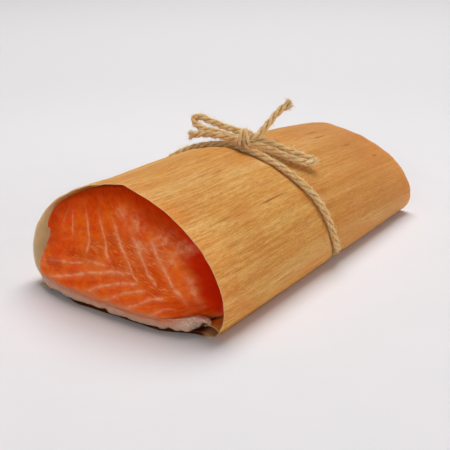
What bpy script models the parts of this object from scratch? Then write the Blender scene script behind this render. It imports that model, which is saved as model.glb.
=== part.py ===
"""A salmon fillet rolled in a thin cedar sheet and tied with jute twine.

The sheet's grain runs along Y, the open end that shows the cut fillet faces -Y,
and the tied roll rests on the flat outer flap of the sheet at z = 0.
Sizes are in millimetres and are turned into metres where each mesh is made.
"""
import math

import bmesh
import bpy
from mathutils import Vector

MM = 0.001

# Cedar sheet, rolled once around the fillet with its edges overlapping underneath
WRAP_LENGTH = 152.0
SHEET_THICKNESS = 0.6
FRONT_HALF_WIDTH = 43.9
BACK_HALF_WIDTH = 40.7
FRONT_HEIGHT = 46.1
BACK_HEIGHT = 35.6
FRONT_CREST_X = 1.6
BACK_CREST_X = -5.0
FRONT_MIDDLE_X = 0.4
FRONT_WALL_FOOT = 10.5
BACK_WALL_FOOT = 7.5
ARCH_SQUARENESS = 1.62
CORNER_RUN = 7.0
LAYER_GAP = 0.4
CURL_HALF_WIDTH = 2.9
CURL_HALF_HEIGHT = 1.75
CURL_INSET = 5.4
FLAP_TIP_X = -38.8
FLAP_EDGE_SLANT = 13.0
FLAP_SKEW = 2.8

# How the roll's outline changes from its front rim to its back
WIDTH_TAPER = 1.3
HEIGHT_TAPER = 2.2
CREST_TAPER = 1.5
CREST_SHARPNESS = 6
RIM_DIP = 0.8
RIM_DIP_PLACE = 0.12
RIM_DIP_RUN = 0.1

# Curled inner edge, as the degrees that it turns through and its fuller lip
CURL_START = 150.0
CURL_SWEEP = 240.0
CURL_LIP = 0.12

# Jute twine, round the middle and tied in a bow on top
TWINE_DIAMETER = 2.7
TWINE_GAP = 0.45
TWINE_FLOOR_GAP = 0.1
TWINE_SIDES = 8
GROOVE_WIDTH = 4.8
GROOVE_PINCH = 1.7
GROOVE_LEAST = 1e-3
PRESS_SIDE_POWER = 8
PRESS_TOP_POWER = 6
PRESS_MOST = 1.2
LIFT_FLAT = 3.0
LIFT_FADE = 17.0
BAND_CENTRE_Z = 16.0
BAND_HALF_WIDTH = 44.0

# Where the band crosses each direction round the roll, as degrees and y
BAND_ROUTE = (
    (-20.0, 7.0),
    (-9.0, 0.5),
    (9.0, -3.3),
    (37.0, -7.0),
    (75.0, -8.6),
    (110.0, -9.8),
    (142.0, -10.2),
    (180.0, -9.5),
    (200.0, -7.0),
)

# Bow, as points chosen along each strand
KNOT_CENTRE = (6.8, -9.6, 48.0)
KNOT_AXIS = (30.0, 11.0, -7.0)
KNOT_RADIUS = 2.5
KNOT_CORE = 2.3
KNOT_TURNS = ((-1.3, 8.0), (1.2, -14.0))
LOOP_LEFT = (
    (8.5, -9.0, 48.6),
    (3.2, -7.8, 49.8),
    (-4.8, -6.4, 50.3),
    (-12.8, -5.2, 51.2),
    (-18.2, -5.0, 52.3),
    (-20.4, -6.0, 51.5),
    (-18.6, -7.4, 49.7),
    (-14.0, -8.6, 48.6),
    (-7.4, -9.6, 48.6),
    (0.0, -10.0, 48.0),
    (6.8, -10.0, 47.6),
)
LOOP_RIGHT = (
    (5.5, -9.0, 48.6),
    (9.5, -4.2, 46.9),
    (13.5, 0.4, 44.6),
    (18.8, 4.2, 41.8),
    (22.8, 7.3, 39.8),
    (25.8, 10.6, 38.1),
    (27.2, 11.0, 37.1),
    (26.4, 8.4, 37.2),
    (24.4, 4.2, 38.4),
    (20.9, 0.7, 40.4),
    (15.6, -2.8, 43.0),
    (10.4, -6.4, 45.6),
    (6.0, -9.4, 47.2),
)
TAIL_LEFT = (
    (7.5, -11.0, 47.6),
    (3.0, -11.4, 47.6),
    (-3.5, -11.6, 47.9),
    (-11.8, -11.0, 47.4),
    (-19.0, -10.6, 45.6),
)
TAIL_RIGHT = (
    (6.2, -9.6, 48.0),
    (9.9, -5.4, 49.0),
    (11.4, -2.0, 51.9),
    (12.8, 1.4, 55.2),
    (14.8, 3.8, 58.2),
    (17.6, 6.0, 60.4),
)

# Skin and the fat under it, below the whole fillet
SKIN_FLOOR_GAP = 0.5
SKIN_THICKNESS = 3.4
SKIN_LEFT_EXTRA = 1.0
SKIN_LEFT_RUN = 30.0
SKIN_LEFT_START = -2.0
SKIN_RIGHT_EXTRA = 0.9
SKIN_RIGHT_RUN = 12.0
SKIN_RIGHT_START = 18.0
SKIN_LUMP = 0.4
SKIN_LUMP_WAVE = (0.42, 0.9)
SKIN_SLOW_WAVE = (0.17, 0.05)
SKIN_THIN_SHARE = 0.42
SKIN_THIN_RUN = 5.0
SKIN_LEFT = -38.2
SKIN_RIGHT = 34.0
SKIN_REACH = 1.6
SKIN_EDGE_RUN = 6.0
SKIN_EDGE_WAVE = 0.3
SKIN_EDGE_RIPPLE = 0.9
SKIN_EDGE_THIN = 0.55
SKIN_EDGE_SHARE = 0.86
SKIN_UPTURN = 2.2
SKIN_UPTURN_RIGHT_SHARE = 0.6
SKIN_UPTURN_RUN = 6.0

# How far the fillet stands out past the sheet's front edge, as x and overhang
OVERHANG = (
    (-39.0, 1.5),
    (-32.6, 4.8),
    (-23.0, 6.7),
    (-8.0, 7.7),
    (12.0, 7.8),
    (22.5, 6.6),
    (30.0, 5.0),
    (34.0, 1.2),
    (40.0, -7.0),
)

# Fillet seen at its front cut, from the bottom left and clockwise, as x and z
FLESH_OUTLINE = (
    (-36.6, 5.4),
    (-39.2, 7.6),
    (-38.4, 11.2),
    (-35.4, 17.4),
    (-34.4, 20.0),
    (-35.6, 22.4),
    (-34.6, 26.6),
    (-31.6, 30.8),
    (-26.2, 35.4),
    (-17.4, 40.0),
    (-8.6, 43.0),
    (1.8, 44.6),
    (12.0, 42.7),
    (22.0, 38.7),
    (30.0, 33.3),
    (36.0, 27.0),
    (39.6, 19.4),
    (40.6, 12.4),
    (39.0, 7.0),
    (35.2, 5.6),
    (24.0, 4.4),
    (10.0, 4.2),
    (-6.0, 4.2),
    (-22.0, 4.6),
)
FLESH_GAP = 0.45
FLESH_GAP_AT_BAND = 0.9
FLESH_GAP_AT_EDGES = 0.35
FLESH_EDGE_START = 28.0
FLESH_EDGE_RUN = 4.0
FLESH_SINK = 1.4
FLESH_SINK_START = 8.0
FLESH_SINK_RUN = 16.0
FLESH_BODY_HALF = 55.0
FLESH_STATION_SKIP = 2
FLESH_CENTRE = (0.0, 21.0)
FACE_SETBACK = 0.6
FACE_SETBACK_RIGHT = 2.4
FACE_SETBACK_START = 22.0
FACE_SETBACK_RUN = 10.0
FACE_LEAN = 9.5
FACE_LEAN_POWER = 1.6
FACE_ROUNDING_SIDE = 3.6
FACE_ROUNDING_RIGHT = 15.0
FACE_ROUNDING_TOP = 3.0
FACE_ROUNDING_BOTTOM = 1.6
FACE_RIGHT_POWER = 1.5
FACE_TOP_POWER = 2
FACE_BOTTOM_START = 0.2
FACE_BOTTOM_STEEPNESS = 3.0
FLAKE_PITCH = 12.0
FLAKE_RELIEF = 0.35
FLAKE_FADE = 8.0
CHEVRON_SLOPE = 0.55
CHEVRON_FOLD_Z = 15.0

# Mesh fineness
ARCH_STEPS = 23
CORNER_STEPS = 5
BOTTOM_STEPS = 9
CURL_STEPS = 7
FRONT_STATIONS = (-70.0, -60.0, -47.0, -36.0)
BACK_STATIONS = (27.0, 38.0, 50.0, 63.0)
GROOVE_START = -27.0
GROOVE_END = 18.0
GROOVE_STEP = 2.65
BAND_ARCH_STEPS = 96
BAND_CORNER_STEPS = 8
BAND_UNDER_STEPS = 24
BAND_FIT_ROUNDS = 6
BAND_STEP = 4.5
STRAND_STEP = 3.5
KNOT_TURN_POINTS = 14
CURVE_FINENESS = 12
SHARP_ANGLE = 35.0
SKIN_STEPS = 14
FLESH_POINTS = 60
FACE_RINGS = (0.0, 0.03, 0.08, 0.15, 0.24, 0.35, 0.47, 0.59, 0.71, 0.83, 0.93)
REAR_RINGS = (0.0, 0.05, 0.16, 0.4, 0.7)

# Each material's linear colour and its roughness
CEDAR = ((0.62, 0.36, 0.15), 0.6)
SALMON = ((0.78, 0.16, 0.04), 0.35)
SKIN_AND_FAT = ((0.62, 0.5, 0.44), 0.4)
JUTE = ((0.55, 0.4, 0.22), 0.85)

HALF_LENGTH = WRAP_LENGTH / 2
TWINE_RADIUS = TWINE_DIAMETER / 2
GROOVE_LIFT = TWINE_FLOOR_GAP + TWINE_DIAMETER + TWINE_GAP
INNER_LAYER_Z = SHEET_THICKNESS * 1.5 + LAYER_GAP
SKIN_BOTTOM = INNER_LAYER_Z + SHEET_THICKNESS / 2 + SKIN_FLOOR_GAP


def smooth_step(value):
    """Ease from 0 to 1 with level ends."""
    value = min(1.0, max(0.0, value))
    return value * value * (3.0 - 2.0 * value)


def read_curve(table, place):
    """Read a smooth curve through a table of (place, value) pairs."""
    if place <= table[0][0]:
        return table[0][1]
    for i in range(len(table) - 1):
        (x0, y0), (x1, y1) = table[i], table[i + 1]
        if place <= x1:
            before = table[max(i - 1, 0)]
            after = table[min(i + 2, len(table) - 1)]
            span = x1 - x0
            m0 = (y1 - before[1]) / max(x1 - before[0], 1e-6) * span
            m1 = (after[1] - y0) / max(after[0] - x0, 1e-6) * span
            t = (place - x0) / span
            return (
                (2 * t**3 - 3 * t**2 + 1) * y0
                + (t**3 - 2 * t**2 + t) * m0
                + (3 * t**2 - 2 * t**3) * y1
                + (t**3 - t**2) * m1
            )
    return table[-1][1]


def smooth_path(points, step, closed=False):
    """Points at even steps along a smooth curve through the chosen points."""
    points = [Vector(p) for p in points]
    count = len(points)
    fine = []
    for i in range(count if closed else count - 1):
        if closed:
            p0, p1, p2, p3 = (points[(i + k) % count] for k in (-1, 0, 1, 2))
        else:
            p0, p1 = points[max(i - 1, 0)], points[i]
            p2, p3 = points[i + 1], points[min(i + 2, count - 1)]
        for k in range(CURVE_FINENESS):
            t = k / CURVE_FINENESS
            fine.append(
                0.5
                * (
                    2 * p1
                    + (p2 - p0) * t
                    + (2 * p0 - 5 * p1 + 4 * p2 - p3) * t**2
                    + (3 * p1 - p0 - 3 * p2 + p3) * t**3
                )
            )
    fine.append(points[0] if closed else points[-1])
    reach = [0.0]
    for a, b in zip(fine, fine[1:]):
        reach.append(reach[-1] + (b - a).length)
    pieces = max(2, round(reach[-1] / step))
    result = []
    j = 0
    for k in range(pieces if closed else pieces + 1):
        target = reach[-1] * k / pieces
        while j < len(fine) - 2 and reach[j + 1] < target:
            j += 1
        span = max(reach[j + 1] - reach[j], 1e-9)
        result.append(fine[j].lerp(fine[j + 1], (target - reach[j]) / span))
    return result


# Shape of the roll

class Section:
    """Outer sizes of the roll at one place along its length."""

    def __init__(self, y):
        s = min(1.0, max(0.0, (y + HALF_LENGTH) / WRAP_LENGTH))
        dip = RIM_DIP * math.exp(-(((s - RIM_DIP_PLACE) / RIM_DIP_RUN) ** 2))
        self.share = s
        self.half_width = FRONT_HALF_WIDTH + (BACK_HALF_WIDTH - FRONT_HALF_WIDTH) * s**WIDTH_TAPER
        self.height = FRONT_HEIGHT + (BACK_HEIGHT - FRONT_HEIGHT) * s**HEIGHT_TAPER - dip
        self.middle_x = FRONT_MIDDLE_X * (1.0 - s)
        self.crest_x = FRONT_CREST_X + (BACK_CREST_X - FRONT_CREST_X) * s**CREST_TAPER
        self.wall_foot = FRONT_WALL_FOOT + (BACK_WALL_FOOT - FRONT_WALL_FOOT) * s

    def arch_point(self, turn, inset):
        """Point on the arch, with turn 0 at the right wall's foot and pi at the left's."""
        across = math.cos(turn)
        up = math.sin(turn)
        width = self.half_width - inset
        x = self.middle_x + width * math.copysign(abs(across) ** (2 / ARCH_SQUARENESS), across)
        x += (self.crest_x - self.middle_x) * up**CREST_SHARPNESS
        return x, self.wall_foot + (self.height - inset - self.wall_foot) * up


def band_y(x, z):
    """Place along Y where the twine crosses the direction of a point."""
    if z < BAND_CENTRE_Z:
        foot_x = x * BAND_CENTRE_Z / max(BAND_CENTRE_Z - z, 1e-6)
        if abs(foot_x) < BAND_HALF_WIDTH:
            share = (foot_x / BAND_HALF_WIDTH + 1.0) / 2
            return BAND_ROUTE[-1][1] + (BAND_ROUTE[0][1] - BAND_ROUTE[-1][1]) * share
    degrees = math.degrees(math.atan2(z - BAND_CENTRE_Z, x))
    if degrees < -90.0:
        degrees += 360.0
    return read_curve(BAND_ROUTE, degrees)


def pressed(x, y, z):
    """Move a point as the tight twine presses the roll in, and up from the floor."""
    section = Section(y)
    near = math.exp(-(((y - band_y(x, z)) / GROOVE_WIDTH) ** 2))
    if near < GROOVE_LEAST:
        return x, y, z
    side = min(PRESS_MOST, abs(x) / section.half_width) ** PRESS_SIDE_POWER
    top = min(PRESS_MOST, max(0.0, z / section.height)) ** PRESS_TOP_POWER
    bottom = max(0.0, 1.0 - max(z - LIFT_FLAT, 0.0) / LIFT_FADE) ** 2
    x -= math.copysign(GROOVE_PINCH * near * side, x)
    z += GROOVE_LIFT * near * bottom - GROOVE_PINCH * near * top
    return x, y, z


def stations():
    """Places along the roll, closer together where the twine presses it."""
    count = round((GROOVE_END - GROOVE_START) / GROOVE_STEP)
    fine = [GROOVE_START + (GROOVE_END - GROOVE_START) * k / count for k in range(count + 1)]
    return [-HALF_LENGTH, *FRONT_STATIONS, *fine, *BACK_STATIONS, HALF_LENGTH]


# Meshes

def add_mesh(name, points, faces, material):
    """Make one object from points in millimetres and faces, with outward normals."""
    mesh = bpy.data.meshes.new(name)
    mesh.from_pydata([Vector(p) * MM for p in points], [], faces)
    body = bmesh.new()
    body.from_mesh(mesh)
    bmesh.ops.triangulate(body, faces=body.faces[:])
    bmesh.ops.recalc_face_normals(body, faces=body.faces[:])
    body.to_mesh(mesh)
    body.free()
    mesh.shade_smooth()
    mesh.set_sharp_from_angle(angle=math.radians(SHARP_ANGLE))
    mesh.materials.append(material)
    thing = bpy.data.objects.new(name, mesh)
    bpy.context.scene.collection.objects.link(thing)
    return thing


def loft_faces(rows, count, closed_rows=False):
    """Faces between rows of closed rings that all have the same count of points."""
    faces = []
    for j in range(rows if closed_rows else rows - 1):
        a, b = j * count, ((j + 1) % rows) * count
        for i in range(count):
            k = (i + 1) % count
            faces.append((a + i, a + k, b + k, b + i))
    return faces


def strip_cap(start, count):
    """Faces that close a thin ring whose second half runs back along its first."""
    half = count // 2
    faces = []
    for i in range(half - 1):
        faces.append((start + i, start + i + 1, start + count - 2 - i, start + count - 1 - i))
    return faces


def make_material(name, color, roughness):
    """A plain surface in one of the part's own colours."""
    material = bpy.data.materials.new(name)
    material.use_nodes = True
    shader = material.node_tree.nodes["Principled BSDF"]
    shader.inputs["Base Color"].default_value = (*color, 1.0)
    shader.inputs["Roughness"].default_value = roughness
    shader.inputs["Metallic"].default_value = 0.0
    return material


# Cedar sheet

def sheet_line(y):
    """Middle line of the rolled sheet at one place, from its curled edge to its flap."""
    section = Section(y)
    inset = SHEET_THICKNESS / 2
    right = section.middle_x + section.half_width - inset
    left = section.middle_x - section.half_width + inset
    curl_x = right + inset - CURL_INSET
    curl_z = INNER_LAYER_Z + CURL_HALF_HEIGHT
    line = []
    for k in range(CURL_STEPS + 1):
        turn = math.radians(CURL_START - CURL_SWEEP * k / CURL_STEPS)
        reach = 1.0 + CURL_LIP * max(0.0, math.sin(turn)) * max(0.0, -math.cos(turn))
        line.append((
            curl_x + CURL_HALF_WIDTH * reach * math.cos(turn),
            curl_z + CURL_HALF_HEIGHT * math.sin(turn),
        ))
    bottom_left = left + CORNER_RUN
    for k in range(1, BOTTOM_STEPS):
        line.append((curl_x + (bottom_left - curl_x) * k / BOTTOM_STEPS, INNER_LAYER_Z))
    for k in range(CORNER_STEPS):
        turn = math.pi / 2 * k / CORNER_STEPS
        rise = section.wall_foot - INNER_LAYER_Z
        line.append((
            bottom_left - CORNER_RUN * math.sin(turn),
            section.wall_foot - rise * math.cos(turn),
        ))
    for k in range(ARCH_STEPS + 1):
        line.append(section.arch_point(math.pi * (1.0 - k / ARCH_STEPS), inset))
    bottom_right = right - CORNER_RUN
    for k in range(1, CORNER_STEPS + 1):
        turn = math.pi / 2 * k / CORNER_STEPS
        rise = section.wall_foot - inset
        line.append((
            bottom_right + CORNER_RUN * math.cos(turn),
            section.wall_foot - rise * math.sin(turn),
        ))
    flap_end = FLAP_TIP_X + FLAP_EDGE_SLANT * math.sqrt(section.share)
    for k in range(1, BOTTOM_STEPS + 1):
        line.append((bottom_right + (flap_end - bottom_right) * k / BOTTOM_STEPS, inset))
    return line


def flap_shift(i, count):
    """How far the flap has slipped towards the front at a point of the sheet's line."""
    along_flap = max(0, i - (count - 1 - BOTTOM_STEPS)) / BOTTOM_STEPS
    return FLAP_SKEW * along_flap**2


def sheet_ring(y):
    """Closed ring around the sheet's thickness at one place."""
    line = [Vector((x, z)) for x, z in sheet_line(y)]
    outer, inner = [], []
    for i, p in enumerate(line):
        along = line[min(i + 1, len(line) - 1)] - line[max(i - 1, 0)]
        across = Vector((-along.y, along.x)).normalized() * SHEET_THICKNESS / 2
        place = y - flap_shift(i, len(line))
        outer.append((*(p + across), place))
        inner.append((*(p - across), place))
    return [pressed(x, place, z) for x, z, place in outer + inner[::-1]]


def make_wrap(material):
    """The whole rolled sheet as one thin solid."""
    rings = [sheet_ring(y) for y in stations()]
    count = len(rings[0])
    faces = loft_faces(len(rings), count)
    faces += strip_cap(0, count)
    faces += strip_cap((len(rings) - 1) * count, count)
    points = [p for ring in rings for p in ring]
    return add_mesh("cedar_wrap", points, faces, material)


# Skin

def skin_bottom(x):
    """Height of the skin's underside, turned up at both edges."""
    left = max(0.0, (SKIN_LEFT + SKIN_UPTURN_RUN - x) / SKIN_UPTURN_RUN)
    right = max(0.0, (x - SKIN_RIGHT + SKIN_UPTURN_RUN) / SKIN_UPTURN_RUN)
    return SKIN_BOTTOM + SKIN_UPTURN * (left**2 + SKIN_UPTURN_RIGHT_SHARE * right**2)


def skin_top(x, y):
    """Height of the uneven line between the skin's fat and the flesh."""
    quick = math.sin(x * SKIN_LUMP_WAVE[0] + SKIN_LUMP_WAVE[1])
    slow = math.sin(x * SKIN_SLOW_WAVE[0] + y * SKIN_SLOW_WAVE[1])
    edge = min(1.0, (x - SKIN_LEFT) / SKIN_THIN_RUN, (SKIN_RIGHT - x) / SKIN_THIN_RUN)
    full = SKIN_THICKNESS + SKIN_LUMP * (quick + slow) / 2
    full += SKIN_LEFT_EXTRA * smooth_step((SKIN_LEFT_START - x) / SKIN_LEFT_RUN)
    full += SKIN_RIGHT_EXTRA * smooth_step((x - SKIN_RIGHT_START) / SKIN_RIGHT_RUN)
    thin = SKIN_THICKNESS * SKIN_THIN_SHARE
    return skin_bottom(x) + thin + (full - thin) * smooth_step(edge)


def front_edge(x):
    """Place along Y of the fillet's bottom edge at the front."""
    return -HALF_LENGTH - read_curve(OVERHANG, x)


def rear_edge(x):
    """Place along Y of the fillet's bottom edge at the rear, cut the other way round."""
    return HALF_LENGTH + read_curve(OVERHANG, -x)


def skin_row(y, share, thin):
    """Closed ring around the skin, with share 1 at the front edge and -1 at the rear."""
    section = Section(y)
    scale = section.half_width / FRONT_HALF_WIDTH
    under, over = [], []
    for k in range(SKIN_STEPS + 1):
        x = SKIN_LEFT + (SKIN_RIGHT - SKIN_LEFT) * k / SKIN_STEPS
        place = y
        if share > 0:
            place = min(front_edge(x), -HALF_LENGTH - SKIN_REACH)
            place += (1.0 - share) * SKIN_EDGE_RUN + SKIN_EDGE_WAVE * math.sin(x * SKIN_EDGE_RIPPLE)
        if share < 0:
            place = max(rear_edge(x), HALF_LENGTH + SKIN_REACH) - (1.0 + share) * SKIN_EDGE_RUN
        low, high = skin_bottom(x), skin_top(x, place)
        middle = (low + high) / 2
        low = middle + (low - middle) * thin
        high = middle + (high - middle) * thin
        under.append(pressed(x * scale, place, low))
        over.append(pressed(x * scale, place, high))
    return under + over[::-1]


def make_skin(material):
    """The skin with its fat, as one solid under the fillet."""
    end = HALF_LENGTH - SHEET_THICKNESS
    inner = [-end] + [y for y in stations() if abs(y) < end - 4.0] + [end]
    rows = [skin_row(-HALF_LENGTH, 1.0, SKIN_EDGE_THIN)]
    rows.append(skin_row(-HALF_LENGTH, SKIN_EDGE_SHARE, 1.0))
    rows += [skin_row(y, 0.0, 1.0) for y in inner]
    rows.append(skin_row(HALF_LENGTH, -SKIN_EDGE_SHARE, 1.0))
    rows.append(skin_row(HALF_LENGTH, -1.0, SKIN_EDGE_THIN))
    count = len(rows[0])
    faces = loft_faces(len(rows), count)
    faces += strip_cap(0, count)
    faces += strip_cap((len(rows) - 1) * count, count)
    points = [p for row in rows for p in row]
    return add_mesh("skin_layer", points, faces, material)


# Flesh

def flesh_outline():
    """Even points round the fillet's cut."""
    ring = smooth_path([(x, 0.0, z) for x, z in FLESH_OUTLINE], 1.0, closed=True)
    count = len(ring)
    return [ring[round(k * count / FLESH_POINTS) % count] for k in range(FLESH_POINTS)]


def fit_to_roll(x, y, z):
    """Scale a point of the front cut to the roll's size at another place."""
    section = Section(y)
    x *= section.half_width / FRONT_HALF_WIDTH
    rise = max(0.0, z - SKIN_BOTTOM) / (FRONT_HEIGHT - SKIN_BOTTOM)
    x += (section.crest_x - FRONT_CREST_X) * rise**CREST_SHARPNESS
    sink = FLESH_SINK * smooth_step((y + HALF_LENGTH - FLESH_SINK_START) / FLESH_SINK_RUN)
    return x, SKIN_BOTTOM + rise * (section.height - SKIN_BOTTOM - sink)


def flesh_point(x, y, z):
    """Place a point of the fillet clear of the skin below it and of the sheet."""
    fit_x, fit_z = fit_to_roll(x, y, z)
    near_band = math.exp(-(((y - band_y(fit_x, 0.0)) / (2 * GROOVE_WIDTH)) ** 2))
    scale = Section(y).half_width / FRONT_HALF_WIDTH
    edge = smooth_step((abs(fit_x / scale) - FLESH_EDGE_START) / FLESH_EDGE_RUN)
    floor = skin_top(min(SKIN_RIGHT, max(SKIN_LEFT, fit_x / scale)), y) + FLESH_GAP
    floor += FLESH_GAP_AT_EDGES * edge + FLESH_GAP_AT_BAND * near_band
    return pressed(fit_x, y, max(fit_z, floor))


def face_rounding(x, z):
    """Radius of the cut's rounded edge, by direction from the middle."""
    turn = math.atan2(z - FLESH_CENTRE[1], x - FLESH_CENTRE[0])
    right = max(0.0, math.cos(turn)) ** FACE_RIGHT_POWER
    top = max(0.0, math.sin(turn)) ** FACE_TOP_POWER
    bottom = smooth_step(-FACE_BOTTOM_STEEPNESS * math.sin(turn) - FACE_BOTTOM_START)
    radius = FACE_ROUNDING_SIDE + (FACE_ROUNDING_RIGHT - FACE_ROUNDING_SIDE) * right
    radius += (FACE_ROUNDING_TOP - radius) * top
    return radius + (FACE_ROUNDING_BOTTOM - radius) * bottom


def flake_relief(x, z):
    """Low steps of the chevron-shaped flakes across the cut."""
    across = x + CHEVRON_SLOPE * abs(z - CHEVRON_FOLD_Z)
    return FLAKE_RELIEF * math.sin(2 * math.pi * across / FLAKE_PITCH)


def flesh_cap(outline, rings, front):
    """Rings of points over one end of the fillet, from its edge to its middle."""
    rows = []
    middle_x, middle_z = FLESH_CENTRE
    for share in rings:
        row = []
        for p in outline:
            radius = face_rounding(p.x, p.z)
            x = middle_x + (p.x - middle_x) * (1.0 - share)
            z = middle_z + (p.z - middle_z) * (1.0 - share)
            depth = share * math.hypot(p.x - middle_x, p.z - middle_z)
            back = max(0.0, 1.0 - depth / radius)
            drop = radius * (1.0 - math.sqrt(1.0 - back * back))
            lean = FACE_LEAN * (max(0.0, z) / FRONT_HEIGHT) ** FACE_LEAN_POWER
            inward = smooth_step((x - FACE_SETBACK_START) / FACE_SETBACK_RUN)
            setback = FACE_SETBACK + FACE_SETBACK_RIGHT * inward
            back_by = setback + lean + drop
            if front:
                relief = flake_relief(x, z) * min(1.0, share * FLAKE_FADE)
                y = front_edge(x) + back_by - relief
            else:
                y = rear_edge(x) - back_by
            row.append(flesh_point(x, y, z))
        rows.append(row)
    return rows


def make_flesh(material):
    """The fillet's flesh as one solid with both cut ends."""
    outline = flesh_outline()
    body = [y for y in stations() if abs(y) < FLESH_BODY_HALF][::FLESH_STATION_SKIP]
    rows = flesh_cap(outline, FACE_RINGS, True)[::-1]
    rows += [[flesh_point(p.x, y, p.z) for p in outline] for y in body]
    rows += flesh_cap(outline, REAR_RINGS, False)
    count = len(outline)
    points = [p for row in rows for p in row]
    faces = loft_faces(len(rows), count)
    for start in (0, (len(rows) - 1) * count):
        ring = points[start:start + count]
        points.append(tuple(sum(p[k] for p in ring) / count for k in range(3)))
        tip = len(points) - 1
        faces += [(start + i, start + (i + 1) % count, tip) for i in range(count)]
    return add_mesh("salmon_flesh", points, faces, material)


# Twine

def band_points():
    """Route of the twine's middle once round the pressed roll."""
    surface = []
    for k in range(BAND_ARCH_STEPS + 1):
        turn = math.pi * k / BAND_ARCH_STEPS
        y = BAND_ROUTE[0][1]
        for _ in range(BAND_FIT_ROUNDS):
            x, z = Section(y).arch_point(turn, 0.0)
            y = band_y(x, z)
        surface.append((x, y, z))
    for foot, direction in ((surface[-1], -1.0), (surface[0], 1.0)):
        corner = []
        for k in range(1, BAND_CORNER_STEPS + 1):
            turn = math.pi / 2 * k / BAND_CORNER_STEPS
            x = foot[0] - direction * CORNER_RUN * (1.0 - math.cos(turn))
            z = foot[2] * (1.0 - math.sin(turn))
            corner.append((x, band_y(x, z), z))
        surface = surface + corner if direction < 0 else corner[::-1] + surface
    left, right = surface[-1], surface[0]
    for k in range(1, BAND_UNDER_STEPS):
        x = left[0] + (right[0] - left[0]) * k / BAND_UNDER_STEPS
        surface.append((x, band_y(x, 0.0), 0.0))
    shape = [Vector(pressed(*p)) for p in surface]
    route = []
    for i, p in enumerate(shape):
        along = shape[(i + 1) % len(shape)] - shape[i - 1]
        outward = Vector((along.z, 0.0, -along.x)).normalized()
        route.append(p + outward * (TWINE_RADIUS + TWINE_GAP))
    return route


def knot_turn(shift, tilt):
    """One turn of twine round the middle of the bow."""
    axis = Vector(KNOT_AXIS).normalized()
    across = axis.cross(Vector((0.0, 0.0, 1.0))).normalized()
    up = across.cross(axis).normalized()
    centre = Vector(KNOT_CENTRE) + axis * shift
    points = []
    for k in range(KNOT_TURN_POINTS):
        turn = 2 * math.pi * k / KNOT_TURN_POINTS
        lean = axis * math.sin(turn) * KNOT_RADIUS * math.tan(math.radians(tilt))
        points.append(centre + KNOT_RADIUS * (across * math.cos(turn) + up * math.sin(turn)) + lean)
    return points


def make_tube(name, route, closed, material):
    """A round tube of twine along a route."""
    points = []
    count = len(route)
    normal = None
    for i, p in enumerate(route):
        before = route[i - 1] if closed or i else p
        after = route[(i + 1) % count] if closed or i < count - 1 else p
        along = (after - before).normalized()
        if normal is None:
            normal = along.orthogonal()
        normal = (normal - along * normal.dot(along)).normalized()
        side = along.cross(normal)
        for k in range(TWINE_SIDES):
            turn = 2 * math.pi * k / TWINE_SIDES
            points.append(p + TWINE_RADIUS * (normal * math.cos(turn) + side * math.sin(turn)))
    faces = loft_faces(count, TWINE_SIDES)
    if closed:
        first = [Vector(points[k]) for k in range(TWINE_SIDES)]
        last = Vector(points[(count - 1) * TWINE_SIDES])
        skew = min(range(TWINE_SIDES), key=lambda k: (first[k] - last).length)
        for i in range(TWINE_SIDES):
            a, b = (count - 1) * TWINE_SIDES + i, (count - 1) * TWINE_SIDES + (i + 1) % TWINE_SIDES
            faces.append((a, b, (i + 1 + skew) % TWINE_SIDES, (i + skew) % TWINE_SIDES))
    else:
        faces.append(tuple(range(TWINE_SIDES)))
        faces.append(tuple((count - 1) * TWINE_SIDES + i for i in range(TWINE_SIDES)))
    return add_mesh(name, points, faces, material)


def make_core(material):
    """The packed middle of the knot, where the strands press together."""
    body = bmesh.new()
    bmesh.ops.create_icosphere(body, subdivisions=2, radius=KNOT_CORE)
    points = [Vector(KNOT_CENTRE) + v.co for v in body.verts]
    faces = [[v.index for v in face.verts] for face in body.faces]
    body.free()
    return add_mesh("knot_core", points, faces, material)


def make_twine(material):
    """The band and its bow, joined into one solid."""
    band = make_tube("jute_twine", smooth_path(band_points(), BAND_STEP, closed=True), True, material)
    strands = []
    for i, strand in enumerate((LOOP_LEFT, LOOP_RIGHT, TAIL_LEFT, TAIL_RIGHT)):
        strands.append(make_tube(f"strand_{i}", smooth_path(strand, STRAND_STEP), False, material))
    for i, (shift, tilt) in enumerate(KNOT_TURNS):
        strands.append(make_tube(f"turn_{i}", knot_turn(shift, tilt), True, material))
    strands.append(make_core(material))
    group = bpy.data.collections.new("bow_strands")
    bpy.context.scene.collection.children.link(group)
    for strand in strands:
        group.objects.link(strand)
    union = band.modifiers.new("bow", "BOOLEAN")
    union.operation = "UNION"
    union.operand_type = "COLLECTION"
    union.collection = group
    union.solver = "EXACT"
    graph = bpy.context.evaluated_depsgraph_get()
    joined = bpy.data.meshes.new_from_object(band.evaluated_get(graph))
    band.modifiers.remove(union)
    band.data = joined
    for strand in strands:
        bpy.data.objects.remove(strand, do_unlink=True)
    bpy.data.collections.remove(group)
    return band


def centre_on_footprint(things):
    """Put the origin under the middle of the whole object's box."""
    corners = [v.co for thing in things for v in thing.data.vertices]
    shift = Vector((
        (min(c.x for c in corners) + max(c.x for c in corners)) / 2,
        (min(c.y for c in corners) + max(c.y for c in corners)) / 2,
        0.0,
    ))
    for thing in things:
        for vertex in thing.data.vertices:
            vertex.co -= shift
    return shift


def main():
    """Build every piece of the tied roll."""
    for thing in list(bpy.data.objects):
        bpy.data.objects.remove(thing, do_unlink=True)
    cedar = make_material("cedar", *CEDAR)
    salmon = make_material("salmon", *SALMON)
    skin = make_material("skin_and_fat", *SKIN_AND_FAT)
    jute = make_material("jute", *JUTE)
    pieces = [make_wrap(cedar), make_skin(skin), make_flesh(salmon), make_twine(jute)]
    shift = centre_on_footprint(pieces)
    print("footprint shift in mm", round(shift.x / MM, 3), round(shift.y / MM, 3))


main()
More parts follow.
